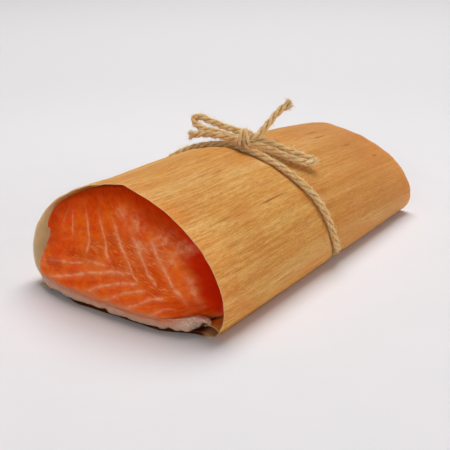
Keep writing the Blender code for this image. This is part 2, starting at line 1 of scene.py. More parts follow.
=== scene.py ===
"""Looks of a salmon fillet rolled in a thin cedar sheet and tied with jute twine.

Lengths in the code are millimetres in the roll's own frame: its grain runs along Y, the
open end that shows the cut fillet faces -Y, and it rests on z = 0. They become metres,
centred on the whole object's footprint, where a mesh is made.
"""
import logging
import math
from dataclasses import dataclass, field
from enum import Enum
from functools import partial
from typing import Callable

import bpy
import numpy as np
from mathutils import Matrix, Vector, noise


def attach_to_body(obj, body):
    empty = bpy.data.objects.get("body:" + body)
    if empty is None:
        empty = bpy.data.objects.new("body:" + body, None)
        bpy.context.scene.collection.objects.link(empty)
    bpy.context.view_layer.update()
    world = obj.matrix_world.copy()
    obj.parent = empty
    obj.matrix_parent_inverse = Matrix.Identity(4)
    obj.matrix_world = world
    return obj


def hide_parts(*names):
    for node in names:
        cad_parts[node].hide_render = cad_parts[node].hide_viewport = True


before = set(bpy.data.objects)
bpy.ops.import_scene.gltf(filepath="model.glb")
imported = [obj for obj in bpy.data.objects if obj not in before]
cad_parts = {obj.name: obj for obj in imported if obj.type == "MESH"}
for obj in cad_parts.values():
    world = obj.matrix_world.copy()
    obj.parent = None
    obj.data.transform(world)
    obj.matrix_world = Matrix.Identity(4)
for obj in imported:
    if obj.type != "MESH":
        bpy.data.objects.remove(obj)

MM = 0.001
FOOTPRINT_SHIFT = (0.121, -0.111)

MATH = "ShaderNodeMath"
VECTOR_MATH = "ShaderNodeVectorMath"
RANGE = "ShaderNodeMapRange"
MARK = "ShaderNodeAttribute"
STORE = "GeometryNodeStoreNamedAttribute"
READ = "GeometryNodeInputNamedAttribute"
EASED = {"interpolation_type": "SMOOTHSTEP"}
TIMES = {"operation": "MULTIPLY"}
TIMES_PLUS = {"operation": "MULTIPLY_ADD"}
FLOAT_AT_POINT = {"data_type": "FLOAT", "domain": "POINT"}
VECTOR_AT_POINT = {"data_type": "FLOAT_VECTOR", "domain": "POINT"}
STEPS_A_SPAN = 24

Array = np.ndarray
Point = tuple[float, float, float]
Socket = bpy.types.NodeSocket
Piece = bpy.types.Object
Material = bpy.types.Material
Tree = bpy.types.NodeTree
Adder = Callable[..., Socket]
log = logging.getLogger("cedar_salmon")


class Slot(Enum):
    """Material slots of the part's record."""

    CEDAR = "cedar"
    SALMON = "salmon"
    SKIN = "skin_and_fat"
    JUTE = "jute"


class Cut(Enum):
    """The two cut ends of the fillet, with the way each faces along Y."""

    FRONT = -1
    REAR = 1


# Numbers, curves and meshes

def linear(colour: str) -> tuple[float, float, float, float]:
    """Turn an sRGB hex colour into linear light.

    Args:
        colour: Six hex digits after a number sign.

    Returns:
        Red, green, blue and alpha for a shader socket.
    """
    parts = [int(colour[i:i + 2], 16) / 255 for i in (1, 3, 5)]
    lit = [c / 12.92 if c <= 0.04045 else ((c + 0.055) / 1.055) ** 2.4 for c in parts]
    return lit[0], lit[1], lit[2], 1.0


def smooth_step(value: Array) -> Array:
    """Ease from 0 to 1 with level ends."""
    value = np.clip(value, 0.0, 1.0)
    return value * value * (3.0 - 2.0 * value)


def on_cut(x: Array, z: Array) -> Array:
    """Points of the flat cut, one row each, from their places across and up."""
    return np.stack([x, 0 * x, z], axis=1)


def read_curve(table: tuple, place: Array) -> Array:
    """Read a smooth curve through a table of (place, value) pairs.

    Args:
        table: Pairs in rising order of place.
        place: Where to read the curve.

    Returns:
        The curve's value at each place, level beyond its ends.
    """
    xs, ys = np.array(table, float).T
    place = np.clip(place, xs[0], xs[-1])
    i = np.clip(np.searchsorted(xs, place) - 1, 0, len(xs) - 2)
    before = np.maximum(i - 1, 0)
    after = np.minimum(i + 2, len(xs) - 1)
    span = xs[i + 1] - xs[i]
    m0 = (ys[i + 1] - ys[before]) / (xs[i + 1] - xs[before]) * span
    m1 = (ys[after] - ys[i]) / (xs[after] - xs[i]) * span
    t = (place - xs[i]) / span
    return (
        (2 * t**3 - 3 * t**2 + 1) * ys[i]
        + (t**3 - 2 * t**2 + t) * m0
        + (3 * t**2 - 2 * t**3) * ys[i + 1]
        + (t**3 - t**2) * m1
    )


def smooth_path(points: list, step: float, closed: bool = False) -> Array:
    """Points at even steps along a smooth curve through the chosen points.

    Args:
        points: Chosen points, in order.
        step: Distance between the points that come back.
        closed: Whether the curve returns to its start.

    Returns:
        One row for each point.
    """
    p = np.array(points, float)
    count = len(p)
    fine = []
    for i in range(count if closed else count - 1):
        around = [(i + k) % count if closed else min(max(i + k, 0), count - 1) for k in (-1, 0, 1, 2)]
        p0, p1, p2, p3 = p[around]
        t = np.linspace(0.0, 1.0, STEPS_A_SPAN, endpoint=False)[:, None]
        fine.append(0.5 * (
            2 * p1 + (p2 - p0) * t + (2 * p0 - 5 * p1 + 4 * p2 - p3) * t**2
            + (3 * p1 - p0 - 3 * p2 + p3) * t**3
        ))
    fine = np.vstack(fine + [p[:1] if closed else p[-1:]])
    reach = np.concatenate([[0.0], np.cumsum(np.linalg.norm(np.diff(fine, axis=0), axis=1))])
    pieces = max(2, round(reach[-1] / step))
    even = np.linspace(0.0, reach[-1], pieces + 1)
    path = np.stack([np.interp(even, reach, fine[:, k]) for k in range(3)], axis=1)
    return path[:-1] if closed else path


def roughness_at(points: Array, sizes: Point, seed: float, octaves: int = 3) -> Array:
    """Smooth noise from about -1 to 1, the same in every run.

    Args:
        points: One row for each place, in mm.
        sizes: How large the lumps are along X, Y and Z, in mm.
        seed: Shifts the noise to another part of its field.
        octaves: How many finer layers it has.

    Returns:
        One value for each place.
    """
    scaled = points / np.array(sizes) + seed
    return np.array([noise.fractal(Vector(p), 1.0, 2.0, octaves) for p in scaled])


@dataclass(frozen=True)
class Ramp:
    """A smooth rise from 0 at its start to 1 at the end of its run, which may run backwards."""

    start: float
    run: float

    def at(self, place: Array) -> Array:
        """How far the rise has come at each place."""
        return smooth_step((place - self.start) / self.run)


@dataclass(frozen=True)
class Lumps:
    """Smooth unevenness: how high, how large along X, Y and Z, and where in the noise."""

    height: float
    sizes: Point
    seed: float
    octaves: int = 3

    def at(self, points: Array) -> Array:
        """How far the unevenness stands out at each point."""
        return self.height * roughness_at(points, self.sizes, self.seed, self.octaves)


def loft_faces(rows: int, count: int) -> Array:
    """Quads between rows of closed rings that all have the same count of points.

    Args:
        rows: How many rings.
        count: Points in a ring.

    Returns:
        Four point numbers for each face.
    """
    j = np.arange(rows - 1)[:, None] * count
    i = np.arange(count)[None, :]
    k = (i + 1) % count
    return np.stack([j + i, j + k, j + count + k, j + count + i], axis=-1).reshape(-1, 4)


def strip_cap(start: int, count: int) -> Array:
    """Quads that close a thin ring whose second half runs back along its first.

    Args:
        start: Number of the ring's first point.
        count: Points in the ring.

    Returns:
        Four point numbers for each face.
    """
    i = np.arange(count // 2 - 1)
    quads = [start + i, start + i + 1, start + count - 2 - i, start + count - 1 - i]
    return np.stack(quads, axis=-1)


def shell_faces(rows: int, count: int) -> Array:
    """Quads of a thin closed solid: round its rings, and over the strips at its two ends."""
    ends = [strip_cap(start, count) for start in (0, (rows - 1) * count)]
    return np.vstack([loft_faces(rows, count), *ends])


def add_object(name: str, data: bpy.types.ID) -> Piece:
    """Put data into the scene as an object at the origin.

    Args:
        name: Name of the object.
        data: Its mesh, curve, light or camera.

    Returns:
        The object.
    """
    thing = bpy.data.objects.new(name, data)
    bpy.context.scene.collection.objects.link(thing)
    return thing


def make_mesh(name: str, points: Array, faces: list, marks: dict | None = None) -> Piece:
    """Make a smooth-shaded object with outward faces from points in mm.

    Args:
        name: Name of the piece.
        points: One row for each vertex.
        faces: Vertex numbers of each face.
        marks: Values for each vertex, stored as named attributes.

    Returns:
        The new object, which sits at the origin.
    """
    shift = np.array([*FOOTPRINT_SHIFT, 0.0])
    mesh = bpy.data.meshes.new(name)
    mesh.from_pydata((points - shift) * MM, [], faces)
    mesh.update()
    volume = sum(
        Vector(mesh.vertices[a].co).dot(Vector(mesh.vertices[b].co).cross(mesh.vertices[c].co))
        for a, b, c in (f.vertices[:3] for f in mesh.polygons)
    )
    if volume < 0:
        mesh.flip_normals()
    mesh.shade_smooth()
    for mark, values in (marks or {}).items():
        attribute = mesh.attributes.new(mark, "FLOAT", "POINT")
        attribute.data.foreach_set("value", np.ascontiguousarray(values, np.float32))
    return add_object(name, mesh)


def add_node(tree: Tree, kind: str, inputs: dict | None = None, out: int | str = 0,
             **settings) -> Socket | None:
    """Add a node with its settings, and fill or link its inputs.

    Args:
        tree: Node tree that gets the node.
        kind: Blender's name for the kind of node.
        inputs: Input name or number, and the value, hex colour or socket that feeds it.
        out: Name or number of the output that is wanted.
        settings: The node's own properties.

    Returns:
        The wanted output, or None where the node has no outputs.
    """
    node = tree.nodes.new(kind)
    for name, value in settings.items():
        setattr(node, name, value)
    for key, value in (inputs or {}).items():
        if isinstance(value, bpy.types.NodeSocket):
            tree.links.new(value, node.inputs[key])
        elif isinstance(value, str) and value.startswith("#"):
            node.inputs[key].default_value = linear(value)
        else:
            node.inputs[key].default_value = value
    return node.outputs[out] if len(node.outputs) else None


def new_material(name: str, constants: dict) -> tuple[Material, Adder, bpy.types.Node]:
    """Make a material whose shader already has its constant values.

    Args:
        name: Name of the real material.
        constants: Values for the shader's sockets that are the same everywhere.

    Returns:
        The material, the function that adds a node to it, and its shader.
    """
    material = bpy.data.materials.new(name)
    material.use_nodes = True
    tree = material.node_tree
    shader = tree.nodes["Principled BSDF"]
    for socket, value in constants.items():
        shader.inputs[socket].default_value = value
    return material, partial(add_node, tree), shader


def feed(shader: bpy.types.Node, sockets: dict[str, Socket]) -> None:
    """Link finished colours and values to the shader's sockets."""
    for name, value in sockets.items():
        shader.id_data.links.new(value, shader.inputs[name])


def lay_colours(add: Adder, base: Socket | str, layers: tuple) -> Socket:
    """Lay colours over a base one after the other.

    Args:
        add: Adds a node to the material.
        base: What shows where no layer does.
        layers: For each layer its colour, and the shares whose product says how strongly it shows.

    Returns:
        The finished colour.
    """
    for colour, share, *more in layers:
        for other in more:
            share = add(MATH, {0: share, 1: other}, **TIMES)
        base = add("ShaderNodeMix", {0: share, 6: base, 7: colour}, out=2, data_type="RGBA")
    return base


def weigh(add: Adder, shares: tuple) -> Socket:
    """Add up patterns, each times its share.

    Args:
        add: Adds a node to the material.
        shares: Pairs of a pattern and its share.

    Returns:
        The sum.
    """
    total = 0.0
    for pattern, share in shares:
        total = add(MATH, {0: pattern, 1: share, 2: total}, **TIMES_PLUS)
    return total


@dataclass(frozen=True)
class Grain:
    """Natural streaks or clouds of a real size, as shares between two levels of their noise.

    Sizes are how large a mark is along each direction, in mm.
    """

    sizes: Point
    shift: float
    low: float = 0.3
    high: float = 0.7
    least: float = 0.0
    most: float = 1.0
    detail: float = 3.0
    turn: Point = (0.0, 0.0, 0.0)
    warp: float = 0.0
    spread: Point = (1.0, 1.7, 0.6)
    crispness: float = 0.6

    def draw(self, add: Adder, place: Socket) -> Socket:
        """Draw the pattern on coordinates in metres.

        Args:
            add: Adds a node to the material.
            place: The coordinates.

        Returns:
            The pattern's share at each place.
        """
        turned = add("ShaderNodeMapping", {0: place, "Rotation": self.turn})
        sized = add("ShaderNodeMapping", {
            0: turned,
            "Scale": tuple(1.0 / (size * MM) for size in self.sizes),
            "Location": tuple(self.shift * part for part in self.spread),
        })
        noise_value = add("ShaderNodeTexNoise", {
            "Vector": sized, "Scale": 1.0, "Detail": self.detail, "Roughness": self.crispness,
            "Distortion": self.warp,
        })
        return add(RANGE, {0: noise_value, 1: self.low, 2: self.high, 3: self.least, 4: self.most}, **EASED)


# Shape of the roll

@dataclass
class Roll:
    """Outer shape of the tied roll, which every piece follows."""

    length: float = 152.0
    front_half_width: float = 43.9
    back_half_width: float = 40.7
    front_height: float = 46.1
    back_height: float = 35.6
    front_crest_x: float = 1.6
    back_crest_x: float = -5.0
    front_middle_x: float = 0.4
    front_wall_foot: float = 10.5
    back_wall_foot: float = 7.5
    squareness: float = 1.62
    corner_run: float = 7.0
    width_power: float = 1.3
    height_power: float = 2.2
    crest_power: float = 1.5
    crest_reach: int = 6
    dip: float = 0.8
    dip_share: float = 0.12
    dip_run: float = 0.1
    groove_width: float = 3.3
    groove_pinch: float = 1.7
    groove_lift: float = 3.25
    groove_least: float = 1e-3
    pinch_most: float = 1.2
    side_power: int = 8
    top_power: int = 6
    lift_from: float = 3.0
    lift_run: float = 17.0
    band_centre_z: float = 16.0
    band_half_width: float = 44.0
    band_route: tuple = (
        (-20.0, 7.0), (-9.0, 0.5), (9.0, -3.3), (37.0, -7.0), (75.0, -8.6),
        (110.0, -9.8), (142.0, -10.2), (180.0, -9.5), (200.0, -7.0),
    )

    @property
    def half(self) -> float:
        """Half of the roll's length."""
        return self.length / 2

    def share(self, y: Array) -> Array:
        """How far along the roll a place is, from 0 at the front rim to 1 at the back."""
        return np.clip((y + self.half) / self.length, 0.0, 1.0)

    def half_width(self, y: Array) -> Array:
        """Half of the roll's width."""
        narrower = self.back_half_width - self.front_half_width
        return self.front_half_width + narrower * self.share(y)**self.width_power

    def height(self, y: Array) -> Array:
        """Height of the roll's crest.

        Args:
            y: Places along the roll.

        Returns:
            One height for each place.
        """
        s = self.share(y)
        dip = self.dip * np.exp(-(((s - self.dip_share) / self.dip_run) ** 2))
        return self.front_height + (self.back_height - self.front_height) * s**self.height_power - dip

    def middle_x(self, y: Array) -> Array:
        """Place across of the roll's middle."""
        return self.front_middle_x * (1.0 - self.share(y))

    def crest_x(self, y: Array) -> Array:
        """Place across of the roll's crest."""
        shift = self.back_crest_x - self.front_crest_x
        return self.front_crest_x + shift * self.share(y)**self.crest_power

    def wall_foot(self, y: Array) -> Array:
        """Height where the side walls start to turn in."""
        return self.front_wall_foot + (self.back_wall_foot - self.front_wall_foot) * self.share(y)

    def arch(self, y: Array, turn: Array, inset: float) -> tuple[Array, Array]:
        """Point on the arch, with turn 0 at the right wall's foot and pi at the left's.

        Args:
            y: Place along the roll.
            turn: Direction round the arch, in radians.
            inset: How far inside the outer face.

        Returns:
            The place across and the height.
        """
        across, up = np.cos(turn), np.sin(turn)
        middle = self.middle_x(y)
        x = middle + (self.half_width(y) - inset) * np.sign(across) * np.abs(across)**(2 / self.squareness)
        x = x + (self.crest_x(y) - middle) * up**self.crest_reach
        foot = self.wall_foot(y)
        return x, foot + (self.height(y) - inset - foot) * up

    def band_y(self, x: Array, z: Array) -> Array:
        """Place along Y where the twine crosses the direction of a point.

        Args:
            x: Places across.
            z: Heights.

        Returns:
            One place for each point.
        """
        x, z = np.broadcast_arrays(np.asarray(x, float), np.asarray(z, float))
        below = np.maximum(self.band_centre_z - z, 1e-6)
        foot_x = x * self.band_centre_z / below
        first, last = self.band_route[0][1], self.band_route[-1][1]
        straight = last + (first - last) * (foot_x / self.band_half_width + 1.0) / 2
        degrees = np.degrees(np.arctan2(z - self.band_centre_z, x))
        degrees = np.where(degrees < -90.0, degrees + 360.0, degrees)
        bent = read_curve(self.band_route, degrees)
        under = (z < self.band_centre_z) & (np.abs(foot_x) < self.band_half_width)
        return np.where(under, straight, bent)

    def pressed(self, x: Array, y: Array, z: Array) -> Array:
        """Points as the tight twine presses the roll in, and up from the floor.

        Args:
            x: Places across.
            y: Places along.
            z: Heights.

        Returns:
            One row for each point.
        """
        x, y, z = np.broadcast_arrays(*(np.asarray(v, float) for v in (x, y, z)))
        near = np.exp(-(((y - self.band_y(x, z)) / self.groove_width) ** 2))
        near = np.where(near < self.groove_least, 0.0, near)
        side = np.minimum(self.pinch_most, np.abs(x) / self.half_width(y)) ** self.side_power
        top = np.clip(z / self.height(y), 0.0, self.pinch_most) ** self.top_power
        bottom = np.maximum(0.0, 1.0 - np.maximum(z - self.lift_from, 0.0) / self.lift_run) ** 2
        new_x = x - np.sign(x) * self.groove_pinch * near * side
        new_z = z + self.groove_lift * near * bottom - self.groove_pinch * near * top
        return np.stack([new_x, y, new_z], axis=-1)


# Cedar sheet

@dataclass(frozen=True)
class Fleck:
    """A dark dash in the cedar's grain, in mm round from the crest and along the roll."""

    round_by: float
    along: float
    length: float
    width: float
    depth: float


@dataclass(frozen=True)
class CedarVeneer:
    """Knife-cut cedar veneer, unsealed: straight fine grain and a dry satin face."""

    pale: str = "#f3be7e"
    gold: str = "#e4a150"
    brown: str = "#cc8034"
    amber: str = "#d6822e"
    hairline: str = "#b4672a"
    pore: str = "#b06a2c"
    fleck: str = "#a25508"
    blush_and_shade: str = "#bd7638"
    oiled_and_glow: str = "#cc6e14"
    soaked_and_shade: str = "#66300f"
    fibre: str = "#e0a862"
    sapwood_and_glow: str = "#ffdfba"
    inside_share: float = 0.85
    fibre_share: float = 0.45
    crest_run: float = 34.0
    flecks: tuple[Fleck, ...] = (
        Fleck(32.8, -27.5, 23.0, 1.15, 0.95),
        Fleck(31.3, -56.0, 20.0, 1.1, 0.45),
        Fleck(43.7, -56.0, 20.0, 1.0, 0.4),
        Fleck(48.5, -64.0, 13.0, 0.9, 0.4),
        Fleck(28.0, -70.0, 9.0, 1.0, 0.4),
        Fleck(4.6, -35.0, 18.0, 2.4, 0.4),
        Fleck(1.8, -30.0, 13.0, 1.8, 0.45),
        Fleck(-7.0, -64.0, 5.0, 1.0, 0.8),
        Fleck(8.5, 44.5, 15.0, 1.5, 0.85),
        Fleck(13.1, 42.5, 16.0, 1.4, 0.9),
        Fleck(22.9, 52.0, 13.5, 1.4, 0.9),
        Fleck(33.4, 62.5, 8.0, 1.5, 0.8),
    )

    def material(self) -> Material:
        """Build the veneer's material on the sheet's own unrolled coordinates.

        Returns:
            The material.
        """
        material, add, shader = new_material("cedar_veneer", {
            "Specular IOR Level": 0.2,
            "Subsurface Weight": 0.85,
            "Subsurface Radius": (1.0, 0.9, 0.8),
            "Subsurface Scale": 2.6 * MM,
        })
        place = add("ShaderNodeUVMap", uv_map="unrolled")
        bands = Grain((9.0, 150.0, 9.0), 3.1, detail=2.0, warp=0.3).draw(add, place)
        lines = Grain((0.8, 50.0, 1.0), 7.7, detail=4.0).draw(add, place)
        # Real fibres and pores are under 0.1 mm across; these are coarser so that they show.
        fibres = Grain((0.34, 5.0, 0.42), 1.9).draw(add, place)
        silk = Grain((0.9, 0.8, 1.0), 5.3, detail=2.0).draw(add, place)
        tone = weigh(add, ((bands, 0.3), (lines, 0.26), (fibres, 0.28), (silk, 0.16)))
        pores = Grain((0.36, 3.0, 0.4), 27.4, 0.56, 0.7, 0.0, 0.35, 1.0).draw(add, place)
        hairlines = Grain((0.5, 13.0, 0.5), 21.3, 0.56, 0.7, 0.0, 0.62, 2.0).draw(add, place)
        amber = Grain((13.0, 30.0, 13.0), 14.9, 0.42, 0.72, 0.0, 0.6, 2.0).draw(add, place)
        dark = self.dark_marks(add, place)
        oil_and_glow, edge, inside, soak_and_shade = (
            add(MARK, attribute_name=name, out="Fac") for name in ("oil_and_glow", "edge", "inside", "soak_and_shade")
        )
        colour = lay_colours(add, self.brown, (
            (self.gold, add(RANGE, {0: tone, 1: 0.22, 2: 0.5}, **EASED)),
            (self.pale, add(RANGE, {0: tone, 1: 0.46, 2: 0.84}, **EASED)),
            (self.amber, add(MATH, {0: amber, 1: self.crest_share(add, place)}, operation="MAXIMUM")),
            (self.hairline, hairlines),
            (self.pore, pores),
            # Blush: the wood's redder tone towards the back, with painted shade of the light's fall-off
            # there.
            (self.blush_and_shade, self.blush_and_shade_share(add, place)),
            (self.fleck, dark),
            # Pale inner face: partly paler sapwood, partly painted light standing in for light that shines
            # through the thin sheet.
            (self.sapwood_and_glow, inside, self.inside_share),
            # Oil stain in the curl and low on the walls; higher up the inner walls the same amber is
            # painted warm light.
            (self.oiled_and_glow, oil_and_glow),
            (self.fibre, edge, self.fibre_share),
            # Painted shade: near-black wood under the fillet's overhang stands in for the contact shadow
            # there, with some juice stain.
            (self.soaked_and_shade, soak_and_shade),
        ))
        rough = add(MATH, {0: tone, 1: -0.14, 2: 0.66}, **TIMES_PLUS)
        rough = add(MATH, {0: oil_and_glow, 1: -0.25, 2: rough}, **TIMES_PLUS)
        relief = weigh(add, ((fibres, 0.5), (lines, 0.8), (hairlines, -0.7), (dark, -0.2)))
        bump = add("ShaderNodeBump", {"Height": relief, "Strength": 0.6, "Distance": 0.12 * MM})
        feed(shader, {"Base Color": colour, "Roughness": rough, "Normal": bump})
        return material

    def crest_share(self, add: Adder, place: Socket) -> Socket:
        """How far the sheet turns amber up the right side of the roll and over its top."""
        across = add("ShaderNodeSeparateXYZ", {0: place}, out=0)
        return add(RANGE, {0: across, 1: self.crest_run * MM, 2: 0.0, 3: 0.0, 4: 0.38}, **EASED)

    def blush_and_shade_share(self, add: Adder, place: Socket) -> Socket:
        """How far the sheet reddens and darkens towards the back of the roll, in soft streaks: partly the
        wood's own redder tone, partly painted shade where the light falls off towards the back.

        Args:
            add: Adds a node to the material.
            place: The veneer's unrolled coordinates.

        Returns:
            How strongly the blush shows.
        """
        along = add("ShaderNodeSeparateXYZ", {0: place}, out=1)
        back = add(RANGE, {0: along, 1: -30.0 * MM, 2: 70.0 * MM, 3: 0.05, 4: 0.85})
        patches = Grain((22.0, 70.0, 20.0), 8.8, 0.25, 0.65, 0.35, 1.0, 2.0).draw(add, place)
        return add(MATH, {0: back, 1: patches}, **TIMES)

    def dark_marks(self, add: Adder, place: Socket) -> Socket:
        """Dark dashes of the grain, both scattered and at their chosen places.

        Args:
            add: Adds a node to the material.
            place: The veneer's unrolled coordinates.

        Returns:
            How strongly they show.
        """
        short = Grain((1.3, 17.0, 1.3), 12.4, 0.0, 1.0, detail=1.0).draw(add, place)
        clusters = Grain((16.0, 40.0, 16.0), 4.2, 0.0, 1.0, detail=1.0).draw(add, place)
        both = weigh(add, ((short, 1.0), (clusters, 0.35)))
        marks = add(RANGE, {0: both, 1: 0.92, 2: 1.08, 3: 0.0, 4: 0.28}, **EASED)
        ragged = Grain((0.6, 3.0, 0.6), 2.2, 0.0, 1.0, 0.0, 0.7, 2.0).draw(add, place)
        for fleck in self.flecks:
            middle = (fleck.round_by * MM, fleck.along * MM, 0.0)
            span = (2.0 / (fleck.width * MM), 2.0 / (fleck.length * MM), 0.0)
            moved = add(VECTOR_MATH, {0: place, 1: middle}, operation="SUBTRACT")
            sized = add(VECTOR_MATH, {0: moved, 1: span}, **TIMES)
            reach = add(VECTOR_MATH, {0: sized}, out="Value", operation="LENGTH")
            reach = add(MATH, {0: reach, 1: ragged}, operation="ADD")
            mark = add(RANGE, {0: reach, 1: 0.5, 2: 1.4, 3: fleck.depth, 4: 0.0}, **EASED)
            marks = add(MATH, {0: marks, 1: mark}, operation="MAXIMUM")
        return marks


@dataclass
class CedarSheet:
    """The thin cedar sheet, rolled once round the fillet with its edges lapped underneath."""

    roll: Roll
    thickness: float = 0.6
    layer_gap: float = 0.4
    curl_half_width: float = 2.9
    curl_half_height: float = 1.75
    curl_inset: float = 5.4
    curl_from: float = 150.0
    curl_sweep: float = 240.0
    curl_swell: float = 0.12
    flap_tip_x: float = -38.8
    flap_slant: float = 13.0
    flap_skew: float = 2.8
    lip_reach: float = 5.1
    lip_fade: float = 14.0
    lip_left: Ramp = Ramp(-29.0, 15.0)
    lip_right: Ramp = Ramp(35.0, -15.0)
    lip_layers: Ramp = Ramp(6.0, -4.0)
    ripples: tuple = ((0.09, 2.9, 0.5, 1.2), (0.07, 1.37, 0.8, 0.0))
    ripple_drift: float = 27.0
    ripple_walls: Ramp = Ramp(6.0, 6.0)
    crease: float = 0.55
    crease_at: float = 1.6
    crease_width: float = 3.2
    crease_fade: float = 16.0
    rim_taper: float = 0.65
    rim_run: float = 0.7
    rim_fuzz: float = 0.3
    rim_ragged: tuple[Lumps, ...] = (Lumps(0.16, (5.0, 1.0, 1.0), 3.3), Lumps(0.1, (0.7, 1.0, 1.0), 8.1))
    rim_ragged_run: float = 1.5
    rim_apart: float = 40.0
    oil_curl: float = 1.15
    oil_and_glow_walls: tuple[float, float] = (0.08, 0.5)
    # Painted warm light: more of the amber colour higher up the inner walls.
    glow_roof: Ramp = Ramp(24.0, 14.0)
    oil_and_glow_even: float = 0.75
    oil_and_glow_blotches: Lumps = Lumps(0.35, (9.0, 12.0, 9.0), 6.6)
    soak_and_shade_left: Ramp = Ramp(-27.0, 3.0)
    soak_and_shade_right: Ramp = Ramp(37.5, -3.0)
    soak_and_shade_layers: Ramp = Ramp(2.6, -1.0)
    soak_and_shade_depth: Ramp = Ramp(8.0, -4.0)
    rim_steps: tuple[float, ...] = (0.0, 0.12, 0.5, 1.2, 2.4, 4.2)
    rim_clear: float = 6.0
    plain_step: float = 3.2
    groove_step: float = 1.1
    groove_span: tuple[float, float] = (-29.0, 20.0)
    groove_gaps: tuple[float, float] = (1.0, 2.0)
    curl_steps: int = 26
    bottom_steps: int = 34
    corner_steps: int = 14
    arch_steps: int = 132
    finish: CedarVeneer = field(default_factory=CedarVeneer)

    @property
    def inner_z(self) -> float:
        """Height of the middle of the sheet's inner layer underneath."""
        return self.thickness * 1.5 + self.layer_gap

    def line(self, y: float) -> Array:
        """Middle line of the sheet at one place, from its curled edge to its flap.

        Args:
            y: Place along the roll.

        Returns:
            One row for each point, across and up.
        """
        roll = self.roll
        inset = self.thickness / 2
        right = roll.middle_x(y) + roll.half_width(y) - inset
        left = roll.middle_x(y) - roll.half_width(y) + inset
        foot = roll.wall_foot(y)
        curl_x = right + inset - self.curl_inset
        turn = np.radians(
            self.curl_from - self.curl_sweep * np.arange(self.curl_steps + 1) / self.curl_steps)
        reach = 1.0 + self.curl_swell * np.maximum(0, np.sin(turn)) * np.maximum(0, -np.cos(turn))
        curl = np.stack([
            curl_x + self.curl_half_width * reach * np.cos(turn),
            self.inner_z + self.curl_half_height * (1.0 + np.sin(turn)),
        ], axis=1)
        bottom_left = left + roll.corner_run
        k = np.arange(1, self.bottom_steps) / self.bottom_steps
        inner = np.stack([curl_x + (bottom_left - curl_x) * k, np.full(len(k), self.inner_z)], axis=1)
        turn = np.pi / 2 * np.arange(self.corner_steps) / self.corner_steps
        left_corner = np.stack([
            bottom_left - roll.corner_run * np.sin(turn),
            foot - (foot - self.inner_z) * np.cos(turn),
        ], axis=1)
        turn = np.pi * (1.0 - np.arange(self.arch_steps + 1) / self.arch_steps)
        arch = np.stack(roll.arch(y, turn, inset), axis=1)
        bottom_right = right - roll.corner_run
        turn = np.pi / 2 * np.arange(1, self.corner_steps + 1) / self.corner_steps
        right_corner = np.stack([
            bottom_right + roll.corner_run * np.cos(turn),
            foot - (foot - inset) * np.sin(turn),
        ], axis=1)
        flap_end = self.flap_tip_x + self.flap_slant * math.sqrt(roll.share(y))
        k = np.arange(1, self.bottom_steps + 1) / self.bottom_steps
        flap = np.stack([bottom_right + (flap_end - bottom_right) * k, np.full(len(k), inset)], axis=1)
        return np.vstack([curl, inner, left_corner, arch, right_corner, flap])

    @property
    def crest_number(self) -> int:
        """Number of the line's point at the top of the arch."""
        return self.curl_steps + self.bottom_steps + self.corner_steps + self.arch_steps // 2

    def stations(self) -> Array:
        """Places along the roll, closer together at the rims and near the twine.

        Returns:
            The places, from front to back.
        """
        half, rim = self.roll.half, np.array(self.rim_steps)
        (first, last), (before, after) = self.groove_span, self.groove_gaps
        plain_front = np.arange(-half + self.rim_clear + before, first - before, self.plain_step)
        groove = np.arange(first, last, self.groove_step)
        plain_back = np.arange(last + after, half - self.rim_clear, self.plain_step)
        return np.concatenate([-half + rim, plain_front, groove, plain_back, (half - rim)[::-1]])

    def lip(self, x: Array, y: float, z: Array) -> Array:
        """How far the bottom layers reach forward under the fillet's overhang.

        Args:
            x: Places across.
            y: Place along the roll.
            z: Heights.

        Returns:
            The reach of each point, in mm.
        """
        across = self.lip_left.at(x) * self.lip_right.at(x)
        fade = math.exp(-(y + self.roll.half) / self.lip_fade)
        return self.lip_reach * across * self.lip_layers.at(z) * fade

    def waves(self, reach: Array, y: float) -> Array:
        """How far the thin wood flexes in and out, in long low ripples along its grain.

        Args:
            reach: Distances round the sheet from its crest.
            y: Place along the roll.

        Returns:
            Outward shift of each point, in mm.
        """
        drift = np.sin(y / self.ripple_drift)
        low = sum(height * np.sin(reach / run + sway * drift + start)
                  for height, run, sway, start in self.ripples)
        crease = self.crease * np.exp(-np.abs(reach - self.crease_at) / self.crease_width)
        return low + crease * math.exp(-(y + self.roll.half) / self.crease_fade)

